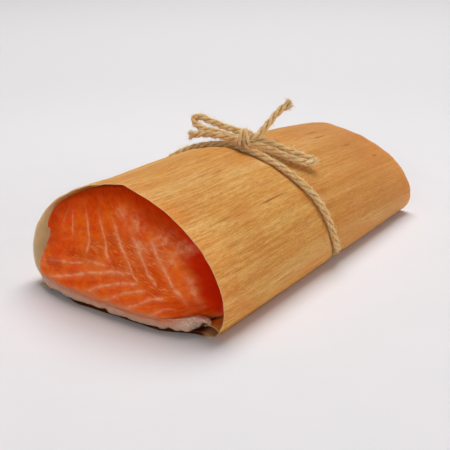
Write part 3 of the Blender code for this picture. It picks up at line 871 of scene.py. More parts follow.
    def build(self) -> Piece:
        """Make the sheet as one closed thin solid, with its unrolled coordinates.

        Returns:
            The finished sheet.
        """
        rings, reaches, edges = [], [], []
        stations = self.stations()
        for y in stations:
            line = self.line(y)
            steps = np.linalg.norm(np.diff(line, axis=0), axis=1)
            reach = np.concatenate([[0.0], np.cumsum(steps)])
            reach -= reach[self.crest_number]
            along = np.gradient(line, axis=0)
            across = np.stack([-along[:, 1], along[:, 0]], axis=1)
            across /= np.linalg.norm(across, axis=1)[:, None]
            walls = self.ripple_walls.at(line[:, 1])
            line = line + across * (self.waves(reach, y) * walls)[:, None]
            from_rim = self.roll.half - abs(y)
            half_thick = self.thickness / 2 * (1.0 - self.rim_taper * math.exp(-from_rim / self.rim_run))
            number = np.arange(len(line))
            slipped = np.maximum(0, number - (len(line) - 1 - self.bottom_steps)) / self.bottom_steps
            place = y - self.flap_skew * slipped**2 - self.lip(line[:, 0], y, line[:, 1])
            at = np.stack([reach, np.full(len(reach), self.rim_apart * np.sign(y)), 0 * reach], axis=1)
            ragged = sum(lumps.at(at) for lumps in self.rim_ragged)
            place = place + ragged * math.exp(-from_rim / self.rim_ragged_run)
            outer, inner = line + across * half_thick, line - across * half_thick
            ring = np.vstack([outer, inner[::-1]])
            rings.append(self.roll.pressed(ring[:, 0], np.concatenate([place, place[::-1]]), ring[:, 1]))
            reaches.append(np.concatenate([reach, reach[::-1]]))
            edges.append(np.full(len(ring), math.exp(-from_rim / self.rim_fuzz)))
        count = len(rings[0])
        points, reach = np.vstack(rings), np.concatenate(reaches)
        inside = np.tile(np.arange(count) >= count // 2, len(rings))
        marks = {"edge": np.concatenate(edges), "oil_and_glow": self.oil_and_glow(points, count), "inside": inside,
                 "soak_and_shade": self.soak_and_shade(points)}
        sheet = make_mesh("cedar_sheet", points, shell_faces(len(rings), count).tolist(), marks)
        self.unroll(sheet, reach, points[:, 1])
        sheet.data.materials.append(self.finish.material())
        return sheet

    def oil_and_glow(self, points: Array, count: int) -> Array:
        """How much the fillet's oil has darkened the inside of the sheet, and how much painted warm light
        tints the inner walls higher up, for light that shines through the thin sheet and bounces off the
        fillet.

        Args:
            points: The sheet's points, ring by ring.
            count: Points in a ring.

        Returns:
            A share for each point.
        """
        number = np.arange(len(points)) % count
        first = count // 2
        on_inside = number >= first
        from_curl = np.where(on_inside, count - 1 - number, number)
        curl = np.where(from_curl < self.curl_steps + self.bottom_steps, self.oil_curl, 0.0)
        least, more = self.oil_and_glow_walls
        walls = np.where(on_inside, least + more * self.glow_roof.at(points[:, 2]), 0.0)
        blotches = self.oil_and_glow_even + self.oil_and_glow_blotches.at(points)
        return np.clip(np.maximum(curl, walls) * blotches, 0.0, 1.0)

    def soak_and_shade(self, points: Array) -> Array:
        """How dark the bottom layers are at the front rim under the fillet: partly soaked by the juices,
        partly painted shade of the contact shadow under the fillet's overhang.

        Args:
            points: The sheet's points.

        Returns:
            A share for each point.
        """
        x, y, z = points.T
        across = self.soak_and_shade_left.at(x) * self.soak_and_shade_right.at(x)
        return across * self.soak_and_shade_layers.at(z) * self.soak_and_shade_depth.at(y + self.roll.half)

    def unroll(self, sheet: Piece, reach: Array, along: Array) -> None:
        """Give the sheet a UV map in metres of flat veneer.

        Args:
            sheet: The finished sheet.
            reach: Distance of each point round the sheet.
            along: Place of each point along the roll.
        """
        layer = sheet.data.uv_layers.new(name="unrolled")
        vertex = np.zeros(len(sheet.data.loops), np.int32)
        sheet.data.loops.foreach_get("vertex_index", vertex)
        flat = np.stack([reach[vertex], along[vertex]], axis=1) * MM
        layer.data.foreach_set("uv", flat.astype(np.float32).ravel())


# Skin and fat under the fillet

@dataclass(frozen=True)
class SkinAndFat:
    """Wet salmon skin with its layer of pale fat: milky, soft and lumpy, silver underneath."""

    fat: str = "#cc9a80"
    milky: str = "#d2a88e"
    grey: str = "#b8967f"
    pink: str = "#d47c50"
    glint_film: str = "#fbeee6"
    silver: str = "#75655c"
    scale_edge: str = "#453830"
    skin: str = "#3f2a20"
    painted_glint_share: float = 0.6
    scale_width: float = 2.6

    def material(self) -> Material:
        """Build the skin's material on object coordinates and the layer's own marks.

        Returns:
            The material.
        """
        material, add, shader = new_material("salmon_skin_and_fat", {
            "Specular IOR Level": 0.3,
            "Subsurface Weight": 0.6,
            "Subsurface Radius": (1.0, 0.45, 0.3),
            "Subsurface Scale": 1.6 * MM,
            "Coat Roughness": 0.12,
        })
        place = add("ShaderNodeTexCoord", out="Object")
        cloud = Grain((3.6, 3.6, 1.6), 2.7).draw(add, place)
        specks = Grain((0.9, 0.9, 0.6), 9.2, detail=2.0).draw(add, place)
        glints = Grain((0.8, 0.8, 0.5), 19.2, 0.56, 0.66, 0.0, 1.0).draw(add, place)
        wet, level, under = (
            add(MARK, attribute_name=name, out="Fac") for name in ("wet", "level", "under")
        )
        rim = add(RANGE, {0: level, 1: 0.02, 2: 0.1, 3: 1.0, 4: 0.0}, **EASED)
        level = weigh(add, ((level, 1.0), (cloud, 0.3), (specks, 0.1), (1.0, -0.1)))
        scales = add("ShaderNodeTexVoronoi", {"Vector": place, "Scale": 1.0 / (self.scale_width * MM)},
                     feature="DISTANCE_TO_EDGE")
        scale = add(RANGE, {0: scales, 1: 0.02, 2: 0.14}, **EASED)
        silver = lay_colours(add, self.scale_edge, ((self.silver, scale),))
        colour = lay_colours(add, self.grey, (
            (self.milky, add(RANGE, {0: level, 1: 0.1, 2: 0.5}, **EASED)),
            (self.fat, add(RANGE, {0: level, 1: 0.4, 2: 0.85}, **EASED)),
            (self.pink, add(RANGE, {0: level, 1: 0.78, 2: 1.14}, **EASED)),
            # Painted highlight: pale glint specks over the wet front right end of the strip.
            (self.glint_film, glints, wet, self.painted_glint_share),
            (self.skin, rim),
            (silver, under),
        ))
        rough = add(RANGE, {0: specks, 1: 0.0, 2: 1.0, 3: 0.26, 4: 0.5})
        relief = weigh(add, ((cloud, 1.0), (specks, 0.5)))
        bump = add("ShaderNodeBump", {"Height": relief, "Strength": 0.6, "Distance": 0.4 * MM})
        ripples = Grain((0.9, 0.9, 0.9), 5.1, 0.2, 0.8, detail=1.0).draw(add, place)
        glint_film = add("ShaderNodeBump", {"Height": ripples, "Strength": 1.0, "Distance": 0.8 * MM})
        coat = add(MATH, {0: wet, 1: 0.8, 2: 0.2}, **TIMES_PLUS)
        feed(shader, {"Base Color": colour, "Roughness": rough, "Normal": bump, "Coat Normal": glint_film,
                      "Coat Weight": coat})
        return material


EAR_LIFT = ((32.6, 0.0), (34.4, 0.7), (35.5, 2.1), (36.3, 3.1), (39.0, 3.4))
EAR_TOP = ((29.0, 6.9), (33.5, 7.2), (36.0, 7.5), (37.8, 7.3), (38.6, 6.8), (39.0, 6.2))
OVERHANG = (
    (-39.0, 1.5), (-32.6, 4.8), (-23.0, 6.7), (-8.0, 7.7), (12.0, 7.8),
    (22.5, 6.6), (30.0, 5.0), (34.0, 1.2), (40.0, -7.0),
)


@dataclass
class SkinLayer:
    """Skin and the fat on it, under the whole fillet."""

    roll: Roll
    bottom: float = 2.1
    thickness: float = 3.4
    left: float = -38.2
    right: float = 35.0
    ear: float = 39.0
    ear_rise: Ramp = Ramp(29.0, 3.0)
    ear_pale: float = 0.6
    ear_pale_rise: Ramp = Ramp(28.0, 5.0)
    sag: float = 0.8
    sag_rise: Ramp = Ramp(35.0, -4.0)
    upturn: float = 2.2
    upturn_run: float = 6.0
    upturn_right: float = 0.6
    wave: float = 0.4
    waves: tuple[tuple[float, ...], ...] = ((0.5, 0.42, 0.0, 0.9), (0.5, 0.17, 0.05, 0.0))
    swells: tuple[tuple[float, Ramp], ...] = ((1.0, Ramp(-2.0, -30.0)), (0.9, Ramp(18.0, 12.0)))
    side_run: float = 5.0
    side_share: float = 0.42
    thinnest: float = 0.1
    reach: float = 1.6
    nose: float = 0.9
    upper_round: float = 0.12
    lower_round: float = 2.0
    shown: Ramp = Ramp(0.0, 3.0)
    low_edge: Lumps = Lumps(1.1, (4.4, 50.0, 1.0), 1.4)
    high_edge: Lumps = Lumps(0.15, (2.4, 3.0, 1.0), 5.9)
    front_lumps: Lumps = Lumps(0.5, (3.4, 50.0, 1.0), 7.7)
    front_lumps_rise: Ramp = Ramp(0.0, 0.3)
    backs: tuple[float, ...] = (0.0, 0.03, 0.08, 0.15, 0.3, 0.5, 0.8, 1.2, 1.6, 2.0)
    covered: float = 9.0
    silver_from: float = 1.9
    end_inset: float = 0.6
    station_runs: tuple[Point, ...] = ((-70.0, -26.0, 8.0), (-26.0, 19.0, 1.5), (24.0, 70.0, 8.0))
    wet_rise: Ramp = Ramp(27.0, 6.0)
    steps: int = 220
    finish: SkinAndFat = field(default_factory=SkinAndFat)

    def low(self, x: Array, front: bool = False) -> Array:
        """Height of the skin's underside, turned up at both edges and over the sheet's curl in front.

        Args:
            x: Places across.
            front: Whether this is the front edge.

        Returns:
            One height for each place.
        """
        left = np.maximum(0.0, (self.left + self.upturn_run - x) / self.upturn_run)
        right = np.maximum(0.0, (x - self.right + self.upturn_run) / self.upturn_run)
        lift = read_curve(EAR_LIFT, x) if front else self.upturn * self.upturn_right * right**2
        return self.bottom + self.upturn * left**2 + lift

    def high(self, x: Array, y: Array, front: bool = False) -> Array:
        """Height of the uneven line between the fat and the flesh.

        Args:
            x: Places across.
            y: Places along the roll.
            front: Whether this is the front edge.

        Returns:
            One height for each place.
        """
        wave = sum(height * np.sin(x * across + y * along + start)
                   for height, across, along, start in self.waves)
        edge = np.minimum(1.0, np.minimum(x - self.left, self.right - x) / self.side_run)
        full = self.thickness + self.wave * wave
        for height, rise in self.swells:
            full = full + height * rise.at(x)
        thin = self.thickness * self.side_share
        top = self.low(x) + thin + (full - thin) * smooth_step(edge)
        over_curl = front * self.ear_rise.at(x)
        return top + (read_curve(EAR_TOP, x) - top) * over_curl

    def row(self, y: float, side: int, back: float) -> tuple[Array, Array]:
        """Closed ring round the skin, underside first.

        Args:
            y: Place along the roll that sets its width.
            side: -1 at the front edge, 1 at the rear, and 0 under the fillet.
            back: How far behind its cut edge the ring is.

        Returns:
            The ring's points, and how high in the layer each one is.
        """
        roll = self.roll
        scale = roll.half_width(y) / roll.front_half_width
        front = side < 0
        end = self.ear if front else self.right
        x = self.left + (end - self.left) * np.arange(self.steps + 1) / self.steps
        place = np.full(len(x), float(y))
        if side:
            reach = np.maximum(read_curve(OVERHANG, -side * x), self.reach)
            place = side * (roll.half + reach - back)
        place_low = place
        at = np.stack([x, place, 0 * x], axis=1)
        out = abs(side) * self.shown.at(np.abs(place) - roll.half)
        sag = self.sag * out * self.sag_rise.at(x)
        plain_low, plain_high = self.low(x, front), self.high(x, place, front)
        low = plain_low - sag + out * self.low_edge.at(at)
        high = plain_high + out * self.high_edge.at(at)
        nose = low + self.nose * (high - low)
        if side:
            rise = np.sqrt(1.0 - (1.0 - min(1.0, back / self.upper_round)) ** 2)
            fall = np.sqrt(1.0 - (1.0 - min(1.0, back / self.lower_round)) ** 2)
            low, high = nose - (nose - low) * fall, nose + (high - nose) * rise
            place_low = place + side * self.front_lumps.at(at) * self.front_lumps_rise.at(back)
        under = roll.pressed(x * scale, place_low, low)
        over = roll.pressed(x * scale, place, high)
        thick = np.maximum(plain_high - plain_low, self.thinnest)
        level = np.concatenate([(low - plain_low + sag) / thick, ((high - plain_low) / thick)[::-1]])
        pale = 1.0 - self.ear_pale * front * self.ear_pale_rise.at(x)
        level = level * np.concatenate([pale, pale[::-1]])
        return np.vstack([under, over[::-1]]), level

    def build(self) -> Piece:
        """Make the skin as one solid with rounded cut edges.

        Returns:
            The finished layer.
        """
        half, backs = self.roll.half, self.backs
        end = half - self.end_inset
        inner = np.concatenate([[-end], *(np.arange(*run) for run in self.station_runs), [end]])
        rings = [self.row(-half, -1, back) for back in backs]
        rings += [self.row(y, 0, self.covered) for y in inner]
        rings += [self.row(half, 1, back) for back in backs][::-1]
        rows, levels = zip(*rings)
        count = len(rows[0])
        behind = np.repeat(np.concatenate([backs, 0 * inner + self.covered, backs[::-1]]), count)
        lower = np.tile(np.arange(count) < count // 2, len(rows))
        points = np.vstack(rows)
        wet = self.wet_rise.at(points[:, 0]) * (points[:, 1] < -half)
        marks = {"level": np.concatenate(levels), "under": lower * (behind > self.silver_from), "wet": wet}
        layer = make_mesh("salmon_skin", points, shell_faces(len(rows), count).tolist(), marks)
        layer.data.materials.append(self.finish.material())
        return layer


# Flesh

@dataclass(frozen=True)
class FatLine:
    """One pale line of fat across the cut, through points across and up, in mm."""

    through: tuple[tuple[float, float], ...]
    width: float
    strength: float
    fade_in: float = 0.35


UPPER_FAT = (
    FatLine(((-20.7, 34.6), (-22.0, 31.3), (-22.4, 28.6)), 0.8, 0.4),
    FatLine(((-18.5, 35.1), (-18.4, 31.4), (-17.9, 27.8), (-17.2, 23.6)), 0.8, 0.6),
    FatLine(((-13.6, 36.6), (-11.8, 32.8), (-10.3, 29.1), (-9.3, 26.0), (-9.3, 23.2), (-9.7, 20.3)),
            0.9, 0.9),
    FatLine(((-7.9, 37.4), (-5.9, 33.4), (-3.8, 29.8), (-2.1, 26.2), (-0.8, 23.1), (2.2, 19.3)), 0.9, 0.85),
    FatLine(((-1.8, 37.0), (1.0, 33.1), (3.5, 29.3), (5.7, 25.9), (8.6, 22.2), (12.1, 18.0), (15.0, 15.9)),
            1.0, 1.0),
    FatLine(((0.9, 39.2), (3.6, 37.1), (6.5, 34.8)), 0.8, 0.45),
    FatLine(((6.6, 34.8), (10.6, 29.6), (13.8, 25.3), (16.9, 20.4), (19.5, 17.6), (21.8, 15.7)), 0.95, 1.0),
    FatLine(((14.8, 32.8), (18.0, 29.6), (20.7, 25.5), (23.7, 21.2), (25.5, 18.0), (27.0, 16.1)),
            0.95, 0.95),
    FatLine(((25.2, 31.9), (25.6, 29.5), (25.4, 27.2)), 0.8, 0.6),
    FatLine(((25.8, 17.4), (28.7, 13.8), (30.8, 10.6)), 1.0, 0.8),
    FatLine(((28.2, 22.8), (30.4, 18.9), (32.2, 14.8), (33.6, 10.4)), 2.2, 0.6),
)
LOWER_FAT = (
    FatLine(((-35.0, 11.5), (-22.8, 14.6), (-14.5, 16.2), (-6.6, 18.0), (2.0, 19.2)), 1.2, 0.75, 0.08),
    FatLine(((-33.0, 5.8), (-19.4, 10.1), (-10.2, 13.2), (-2.7, 15.6), (4.5, 17.5), (10.5, 18.5),
             (12.8, 17.8)), 1.4, 0.9, 0.1),
    FatLine(((-14.0, 5.2), (-7.1, 8.2), (-2.5, 10.6), (2.8, 13.1), (8.0, 14.8), (15.0, 16.1)), 1.3, 0.85),
    FatLine(((-5.0, 4.6), (1.2, 7.1), (6.7, 10.2), (12.3, 12.7), (17.6, 14.2)), 1.3, 0.75),
    FatLine(((4.0, 4.4), (10.3, 6.4), (15.2, 9.3), (19.4, 11.4), (24.6, 12.7)), 1.3, 0.75),
    FatLine(((14.0, 4.6), (19.8, 6.2), (23.0, 8.4), (25.5, 9.2), (29.0, 9.1)), 1.2, 0.6),
    FatLine(((29.0, 6.2), (32.2, 9.0), (34.8, 9.8)), 0.9, 0.4),
)

DEEP_PATCHES = ((29.5, 9.5, 6.0, 3.4), (-30.0, 26.0, 5.0, 8.0), (-27.0, 13.0, 5.0, 2.0))
WHISKER_PATCHES = (
    (16.0, 20.5, 8.0, 5.0), (23.0, 15.5, 5.0, 4.0), (5.5, 19.5, 4.5, 3.5), (-12.0, 19.5, 7.0, 2.4),
    (2.6, 27.0, 4.5, 3.5), (11.0, 27.0, 5.0, 4.0), (-6.0, 23.0, 4.0, 3.5), (20.0, 26.0, 4.0, 4.0),
)
WET_PATCHES = (
    (24.4, 25.1, 3.4, 4.0), (20.7, 31.2, 3.6, 2.0), (10.5, 34.8, 4.0, 2.4), (3.2, 37.4, 3.0, 2.0),
    (27.7, 28.3, 2.4, 3.0), (17.0, 21.0, 7.0, 4.0), (-8.0, 14.0, 8.0, 3.0), (22.0, 7.0, 12.0, 2.5),
    (-17.0, 33.0, 5.0, 5.0), (0.0, 30.0, 9.0, 5.0),
)
PAINTED_SHEEN_SPOTS = (
    (10.0, 34.6, 3.6), (20.4, 31.2, 3.8), (24.4, 25.6, 3.4),
    (27.7, 28.6, 3.2), (3.4, 37.0, 2.6), (14.0, 28.0, 3.4),
)


@dataclass(frozen=True)
class RawSalmon:
    """Raw salmon, freshly cut: translucent orange muscle, pale fat lines and a wet coat, with painted sheen
    and painted glints.
    """

    orange: str = "#f05206"
    bright: str = "#fb7e1c"
    deep_and_shade: str = "#d43e03"
    dark: str = "#c43a03"
    red_shade: str = "#d82c04"
    fat: str = "#fcae7c"
    whisker: str = "#fc8e4e"
    gap: str = "#b83a04"
    painted_sheen: str = "#f4a470"
    glint_film: str = "#fbe2d2"
    shade: str = "#8c2404"
    rind: str = "#dc865c"
    bright_share: float = 0.6
    deep_and_shade_share: float = 0.4
    dark_share: float = 0.22
    pearl_share: float = 0.25
    shade_share: float = 0.4
    gap_share: float = 0.4
    painted_sheen_share: float = 0.75
    painted_glint_share: float = 0.4
    strand_turns: tuple[float, ...] = (-38.0, 14.0, -13.0, 20.0)

    def material(self) -> Material:
        """Build the flesh's material on object coordinates and the cut's own marks.

        Returns:
            The material.
        """
        material, add, shader = new_material("raw_salmon", {
            "Specular IOR Level": 0.02,
            "Subsurface Weight": 0.15,
            "Subsurface Radius": (1.0, 0.25, 0.08),
            "Subsurface Scale": 1.2 * MM,
            "Coat Roughness": 0.12,
        })
        place = add("ShaderNodeTexCoord", out="Object")
        marks = {
            name: add(MARK, attribute_name=name, out="Fac")
            for name in ("fat", "deep_and_shade", "red_shade", "lower", "painted_sheen", "whiskers", "rind", "wet")
        }
        mottle = Grain((6.0, 6.0, 6.0), 1.1, 0.36, 0.64, warp=0.6).draw(add, place)
        patches = Grain((3.4, 3.4, 2.2), 8.3, 0.48, 0.66, warp=0.8).draw(add, place)
        grain = Grain((0.9, 0.9, 0.9), 6.3).draw(add, place)
        along_upper, along_lower, across_both, up_right = (
            (0.0, math.radians(angle), 0.0) for angle in self.strand_turns)
        smears = Grain((2.6, 2.6, 1.2), 13.3, 0.15, 0.65, turn=along_upper).draw(add, place)
        glints = Grain((0.9, 0.9, 0.6), 17.7, 0.58, 0.66, 0.0, 1.0).draw(add, place)
        steep = Grain((3.4, 3.4, 0.42), 2.4, 0.36, 0.7, turn=along_upper).draw(add, place)
        level = Grain((3.8, 3.8, 0.45), 4.4, 0.36, 0.7, turn=along_lower).draw(add, place)
        strands = add("ShaderNodeMix", {0: marks["lower"], 2: steep, 3: level})
        pearl = Grain((5.0, 5.0, 1.1), 41.7, 0.46, 0.72, turn=up_right, warp=0.6).draw(add, place)
        hairs = Grain((3.2, 3.2, 0.5), 31.0, 0.52, 0.64, turn=across_both, warp=0.5).draw(add, place)
        shallow = add(MATH, {0: 1.0, 1: marks["deep_and_shade"]}, operation="SUBTRACT")
        colour = lay_colours(add, self.orange, (
            (self.bright, mottle, self.bright_share),
            (self.deep_and_shade, patches, self.deep_and_shade_share),
            (self.dark, strands, self.dark_share),
            (self.whisker, pearl, self.pearl_share),
            # Painted shade: the deep colour under the roof's rim and in the fold's crease stands in for
            # their shadow; its patches are partly the flesh's own deeper tone.
            (self.deep_and_shade, marks["deep_and_shade"]),
            # Painted shade: the deep red at the cut's right, where it turns back inside the roll, stands in
            # for shadow and red light bounced inside the roll.
            (self.red_shade, marks["red_shade"]),
            (self.shade, strands, marks["deep_and_shade"], self.shade_share),
            (self.gap, marks["whiskers"], self.gap_share),
            (self.whisker, hairs, marks["whiskers"]),
            # Painted sheen: pale smears where the wet cut reflects light near the roof.
            (self.painted_sheen, smears, self.painted_sheen_share, marks["painted_sheen"]),
            (self.fat, marks["fat"], add(RANGE, {0: grain, 1: 0.0, 2: 0.8, 3: 0.6, 4: 1.0})),
            (self.rind, marks["rind"]),
            # Painted highlight: pale glint specks within the painted sheen patches.
            (self.glint_film, glints, marks["painted_sheen"], self.painted_glint_share),
        ))
        rough = add(RANGE, {0: mottle, 1: 0.0, 2: 1.0, 3: 0.34, 4: 0.5})
        relief = weigh(add, ((grain, 0.2), (strands, -0.4), (hairs, 0.4)))
        bump = add("ShaderNodeBump", {"Height": relief, "Strength": 0.5, "Distance": 0.3 * MM})
        ripples = Grain((1.5, 1.5, 1.1), 23.1, 0.2, 0.8, detail=1.0).draw(add, place)
        glint_film = add("ShaderNodeBump", {"Height": ripples, "Strength": 1.0, "Distance": 0.9 * MM})
        wet = add(MATH, {0: glints, 1: marks["wet"]}, **TIMES)
        wet = add(MATH, {0: wet, 1: shallow}, **TIMES)
        feed(shader, {"Base Color": colour, "Roughness": rough, "Normal": bump, "Coat Normal": glint_film,
                      "Coat Weight": wet})
        return material


@dataclass
class Fillet:
    """The salmon's flesh, with a cut face at each end of the roll."""

    roll: Roll
    skin: SkinLayer
    outline: tuple = (
        (-36.6, 5.4), (-38.8, 7.4), (-37.8, 10.8), (-35.6, 14.8), (-33.7, 19.4), (-32.8, 22.2),
        (-32.8, 23.8), (-33.9, 25.4), (-33.4, 28.2), (-30.8, 31.9), (-26.2, 35.4), (-17.4, 40.0),
        (-8.6, 43.0), (1.8, 44.6),
        (12.0, 42.7), (22.0, 38.7), (30.0, 33.3), (36.0, 27.0), (40.2, 19.2), (41.6, 12.0),
        (41.4, 7.6), (39.6, 5.7), (36.8, 5.3), (24.0, 4.4), (10.0, 4.2), (-6.0, 4.2), (-22.0, 4.6),
    )
    gap: float = 0.05
    sink: float = 1.4
    sink_rise: Ramp = Ramp(8.0, 16.0)
    corner_lift: float = 0.35
    corner_rise: Ramp = Ramp(28.0, 4.0)
    corner_clear: float = 6.0
    band_lift: float = 0.9
    centre: tuple[float, float] = (0.0, 21.0)
    round_left: float = 3.6
    round_right: float = 15.0
    round_right_power: float = 1.5
    round_top: float = 3.0
    round_low: float = 0.25
    round_low_turn: tuple[float, float] = (-3.0, 0.2)
    lean: float = 9.5
    lean_power: float = 1.6
    lean_from: float = 6.0
    setback: float = 2.4
    setback_rise: Ramp = Ramp(22.0, 10.0)
    flake_depth: float = 0.28
    flake_slants: tuple[float, float] = (0.56, 0.24)
    flake_widths: tuple[float, float] = (8.0, 3.6)
    flake_start: float = 0.8
    flake_lower_share: float = 0.5
    flake_lumps: Lumps = Lumps(0.12, (6.0, 1.0, 6.0), 3.0)
    relief_rise: Ramp = Ramp(0.0, 3.0)
    groove_depth: float = 0.14
    fat_wander: tuple[Lumps, Lumps] = (
        Lumps(0.4, (6.0, 1.0, 6.0), 2.2, 2), Lumps(0.4, (6.0, 1.0, 6.0), 9.4, 2),
    )
    fat_swell: float = 1.1
    fat_swell_lumps: Lumps = Lumps(0.9, (3.0, 1.0, 3.0), 4.1)
    fat_lively: float = 0.62
    fat_least: float = 0.15
    fat_lively_lumps: Lumps = Lumps(0.9, (2.2, 1.0, 2.2), 6.8)
    fat_step: float = 0.8
    fat_end: Ramp = Ramp(1.0, -0.08)
    fat_hidden: float = 0.9
    fat_core: float = 0.3
    fat_halo: float = 0.26
    lower_half: Ramp = Ramp(22.5, -6.0)
    lower_slant: float = 0.19
    roof_below: float = 6.0
    deep_and_shade_share: float = 0.9
    roof_shade_rise: Ramp = Ramp(10.0, -8.0)
    roof_shade_lumps: Lumps = Lumps(3.0, (9.0, 1.0, 9.0), 5.5)
    deep_patch_share: float = 0.6
    deep_and_shade_behind: float = 0.8
    red_rise: Ramp = Ramp(38.0, 3.2)
    red_slant: float = 0.43
    red_lumps: Lumps = Lumps(1.4, (5.0, 1.0, 5.0), 8.5)
    red_rim_share: float = 0.5
    red_rim: Ramp = Ramp(3.5, -3.5)
    red_rim_side: Ramp = Ramp(-4.0, 16.0)
    rind_below: float = 14.0
    rind_left: float = -28.0
    rind_under_fold: float = 0.5
    rind_rise: Ramp = Ramp(4.6, -3.6)
    rind_lumps: Lumps = Lumps(1.5, (4.0, 1.0, 4.0), 4.7)
    rind_share: float = 0.8
    rind_hidden: float = 0.7
    whisker_share: float = 0.85
    painted_sheen_squash: float = 1.3
    painted_sheen_even: float = 0.55
    painted_sheen_lumps: Lumps = Lumps(0.8, (2.0, 1.0, 2.0), 7.2)
    fold_tip: tuple[float, float] = (-33.0, 23.4)
    fold_run: float = 8.6
    fold_rise: float = 0.45
    fold_step: float = 1.0
    fold_width: float = 0.9
    fold_fade: float = 4.0
    crease_below: float = 0.3
    crease_width: float = 0.5
    front_stations: Point = (-54.0, -44.0, -34.0)
    band_stations: Point = (-27.0, 19.0, 3.5)
    rear_stations: Point = (27.0, 38.0, 50.0)
    outline_step: float = 0.2
    points_round: int = 520
    rings: tuple[int, int] = (100, 64)
    ring_power: float = 1.15
    last_share: float = 0.975
    far_away: float = 99.0
    finish: RawSalmon = field(default_factory=RawSalmon)

    def fit(self, x: Array, y: Array, z: Array) -> tuple[Array, Array]:
        """Scale points of the front cut to the roll's size at another place.

        Args:
            x: Places across.
            y: Places along the roll.
            z: Heights.

        Returns:
            The new places across and heights.
        """
        roll, bottom = self.roll, self.skin.bottom
        x = x * roll.half_width(y) / roll.front_half_width
        rise = np.maximum(0.0, z - bottom) / (roll.front_height - bottom)
        x = x + (roll.crest_x(y) - roll.front_crest_x) * rise**roll.crest_reach
        sink = self.sink * self.sink_rise.at(y + roll.half)
        return x, bottom + rise * (roll.height(y) - bottom - sink)

    def settle(self, x: Array, y: Array, z: Array) -> Array:
        """Place points of the fillet clear of the skin below them and of the sheet.

        Args:
            x: Places across.
            y: Places along the roll.
            z: Heights.

        Returns:
            One row for each point.
        """
        roll, skin = self.roll, self.skin
        fit_x, fit_z = self.fit(x, y, z)
        near_band = np.exp(-(((y - roll.band_y(fit_x, 0.0)) / (2 * roll.groove_width)) ** 2))
        flat_x = fit_x / (roll.half_width(y) / roll.front_half_width)
        floor = skin.high(np.clip(flat_x, skin.left, skin.right), y) + self.gap
        inside = np.abs(y) < roll.half - self.corner_clear
        floor = floor + self.corner_lift * self.corner_rise.at(np.abs(flat_x)) * inside
        floor = floor + self.band_lift * near_band
        return roll.pressed(fit_x, y, np.maximum(fit_z, floor))

    def rounding(self, x: Array, z: Array) -> Array:
        """Radius of the cut's rounded edge, by direction from the middle.

        Args:
            x: Places across.
            z: Heights.

        Returns:
            A radius for each point.
        """
        turn = np.arctan2(z - self.centre[1], x - self.centre[0])
        right = np.maximum(0.0, np.cos(turn)) ** self.round_right_power
        radius = self.round_left + (self.round_right - self.round_left) * right
        radius = radius + (self.round_top - radius) * np.maximum(0.0, np.sin(turn)) ** 2
        steepness, start = self.round_low_turn
        return radius + (self.round_low - radius) * smooth_step(steepness * np.sin(turn) - start)

    def fat_marks(self, x: Array, z: Array, lines: tuple[FatLine, ...]) -> Array:
        """How much of each point is fat, from the lines that pass near it.

        Args:
            x: Places across.
            z: Heights.
            lines: The lines of fat.

        Returns:
            A share for each point.
        """
        at = on_cut(x, z)
        wander = [here + lumps.at(at) for here, lumps in zip((x, z), self.fat_wander)]
        swell = self.fat_swell + self.fat_swell_lumps.at(at)
        lively = np.clip(self.fat_lively + self.fat_lively_lumps.at(at), self.fat_least, 1.0)
        most = np.zeros(len(x))
        for line in lines:
            path = smooth_path([(a, 0.0, b) for a, b in line.through], self.fat_step)
            a, b = path[:-1, (0, 2)], path[1:, (0, 2)]
            span = b - a
            here = np.stack(wander, axis=1)[:, None, :] - a[None]
            t = np.clip((here * span).sum(-1) / (span * span).sum(-1), 0.0, 1.0)
            gaps = np.linalg.norm(here - t[..., None] * span, axis=-1)
            nearest = gaps.argmin(axis=1)
            gap = gaps.min(axis=1)
            run = (nearest + 0.5) / len(a)
            fade = smooth_step(run / line.fade_in) * self.fat_end.at(run)
            core = np.exp(-((gap / (line.width * self.fat_core * swell)) ** 2)) * lively
            halo = self.fat_halo * np.exp(-((gap / line.width) ** 2))
            most = np.maximum(most, (core + halo) * line.strength * fade)
        return np.clip(most, 0.0, 1.0)

    def cap(self, outline: Array, end: Cut) -> tuple[Array, dict]:
        """Points over one cut end of the fillet, from its edge to its middle.

        Args:
            outline: Points round the cut, across and up.
            end: Which end of the fillet.

        Returns:
            One row for each point, ring by ring, and the marks on them.
        """
        roll = self.roll
        rings = self.rings[end is Cut.REAR]
        share = (self.last_share * np.linspace(0.0, 1.0, rings) ** self.ring_power)[:, None]
        away_x, away_z = (outline - self.centre).T
        radius = np.tile(self.rounding(*outline.T), rings)
        x = (self.centre[0] + away_x * (1.0 - share)).ravel()
        z = (self.centre[1] + away_z * (1.0 - share)).ravel()
        depth = (share * np.hypot(away_x, away_z)).ravel()
        back = np.maximum(0.0, 1.0 - depth / radius)
        drop = radius * (1.0 - np.sqrt(1.0 - back * back))
        rise = np.maximum(0.0, z - self.lean_from) / (roll.front_height - self.lean_from)
        lean = self.lean * rise**self.lean_power
        set_back = self.setback * self.setback_rise.at(x)
        side = float(end.value)
        mx, mz = -side * x, z
        fat = np.maximum(self.fat_marks(mx, mz, UPPER_FAT), self.fat_marks(mx, mz, LOWER_FAT))
        lower = self.lower_half.at(self.lower_slant * mx + mz)
        at = on_cut(x, z)
        flake = self.flakes(mx, mz, lower) + self.flake_lumps.at(at)
        fold, crease = self.fold(mx, mz)
        relief = (flake - self.groove_depth * fat) * self.relief_rise.at(depth) + fold
        y = side * (roll.half + read_curve(OVERHANG, mx) - set_back - lean - drop + relief)
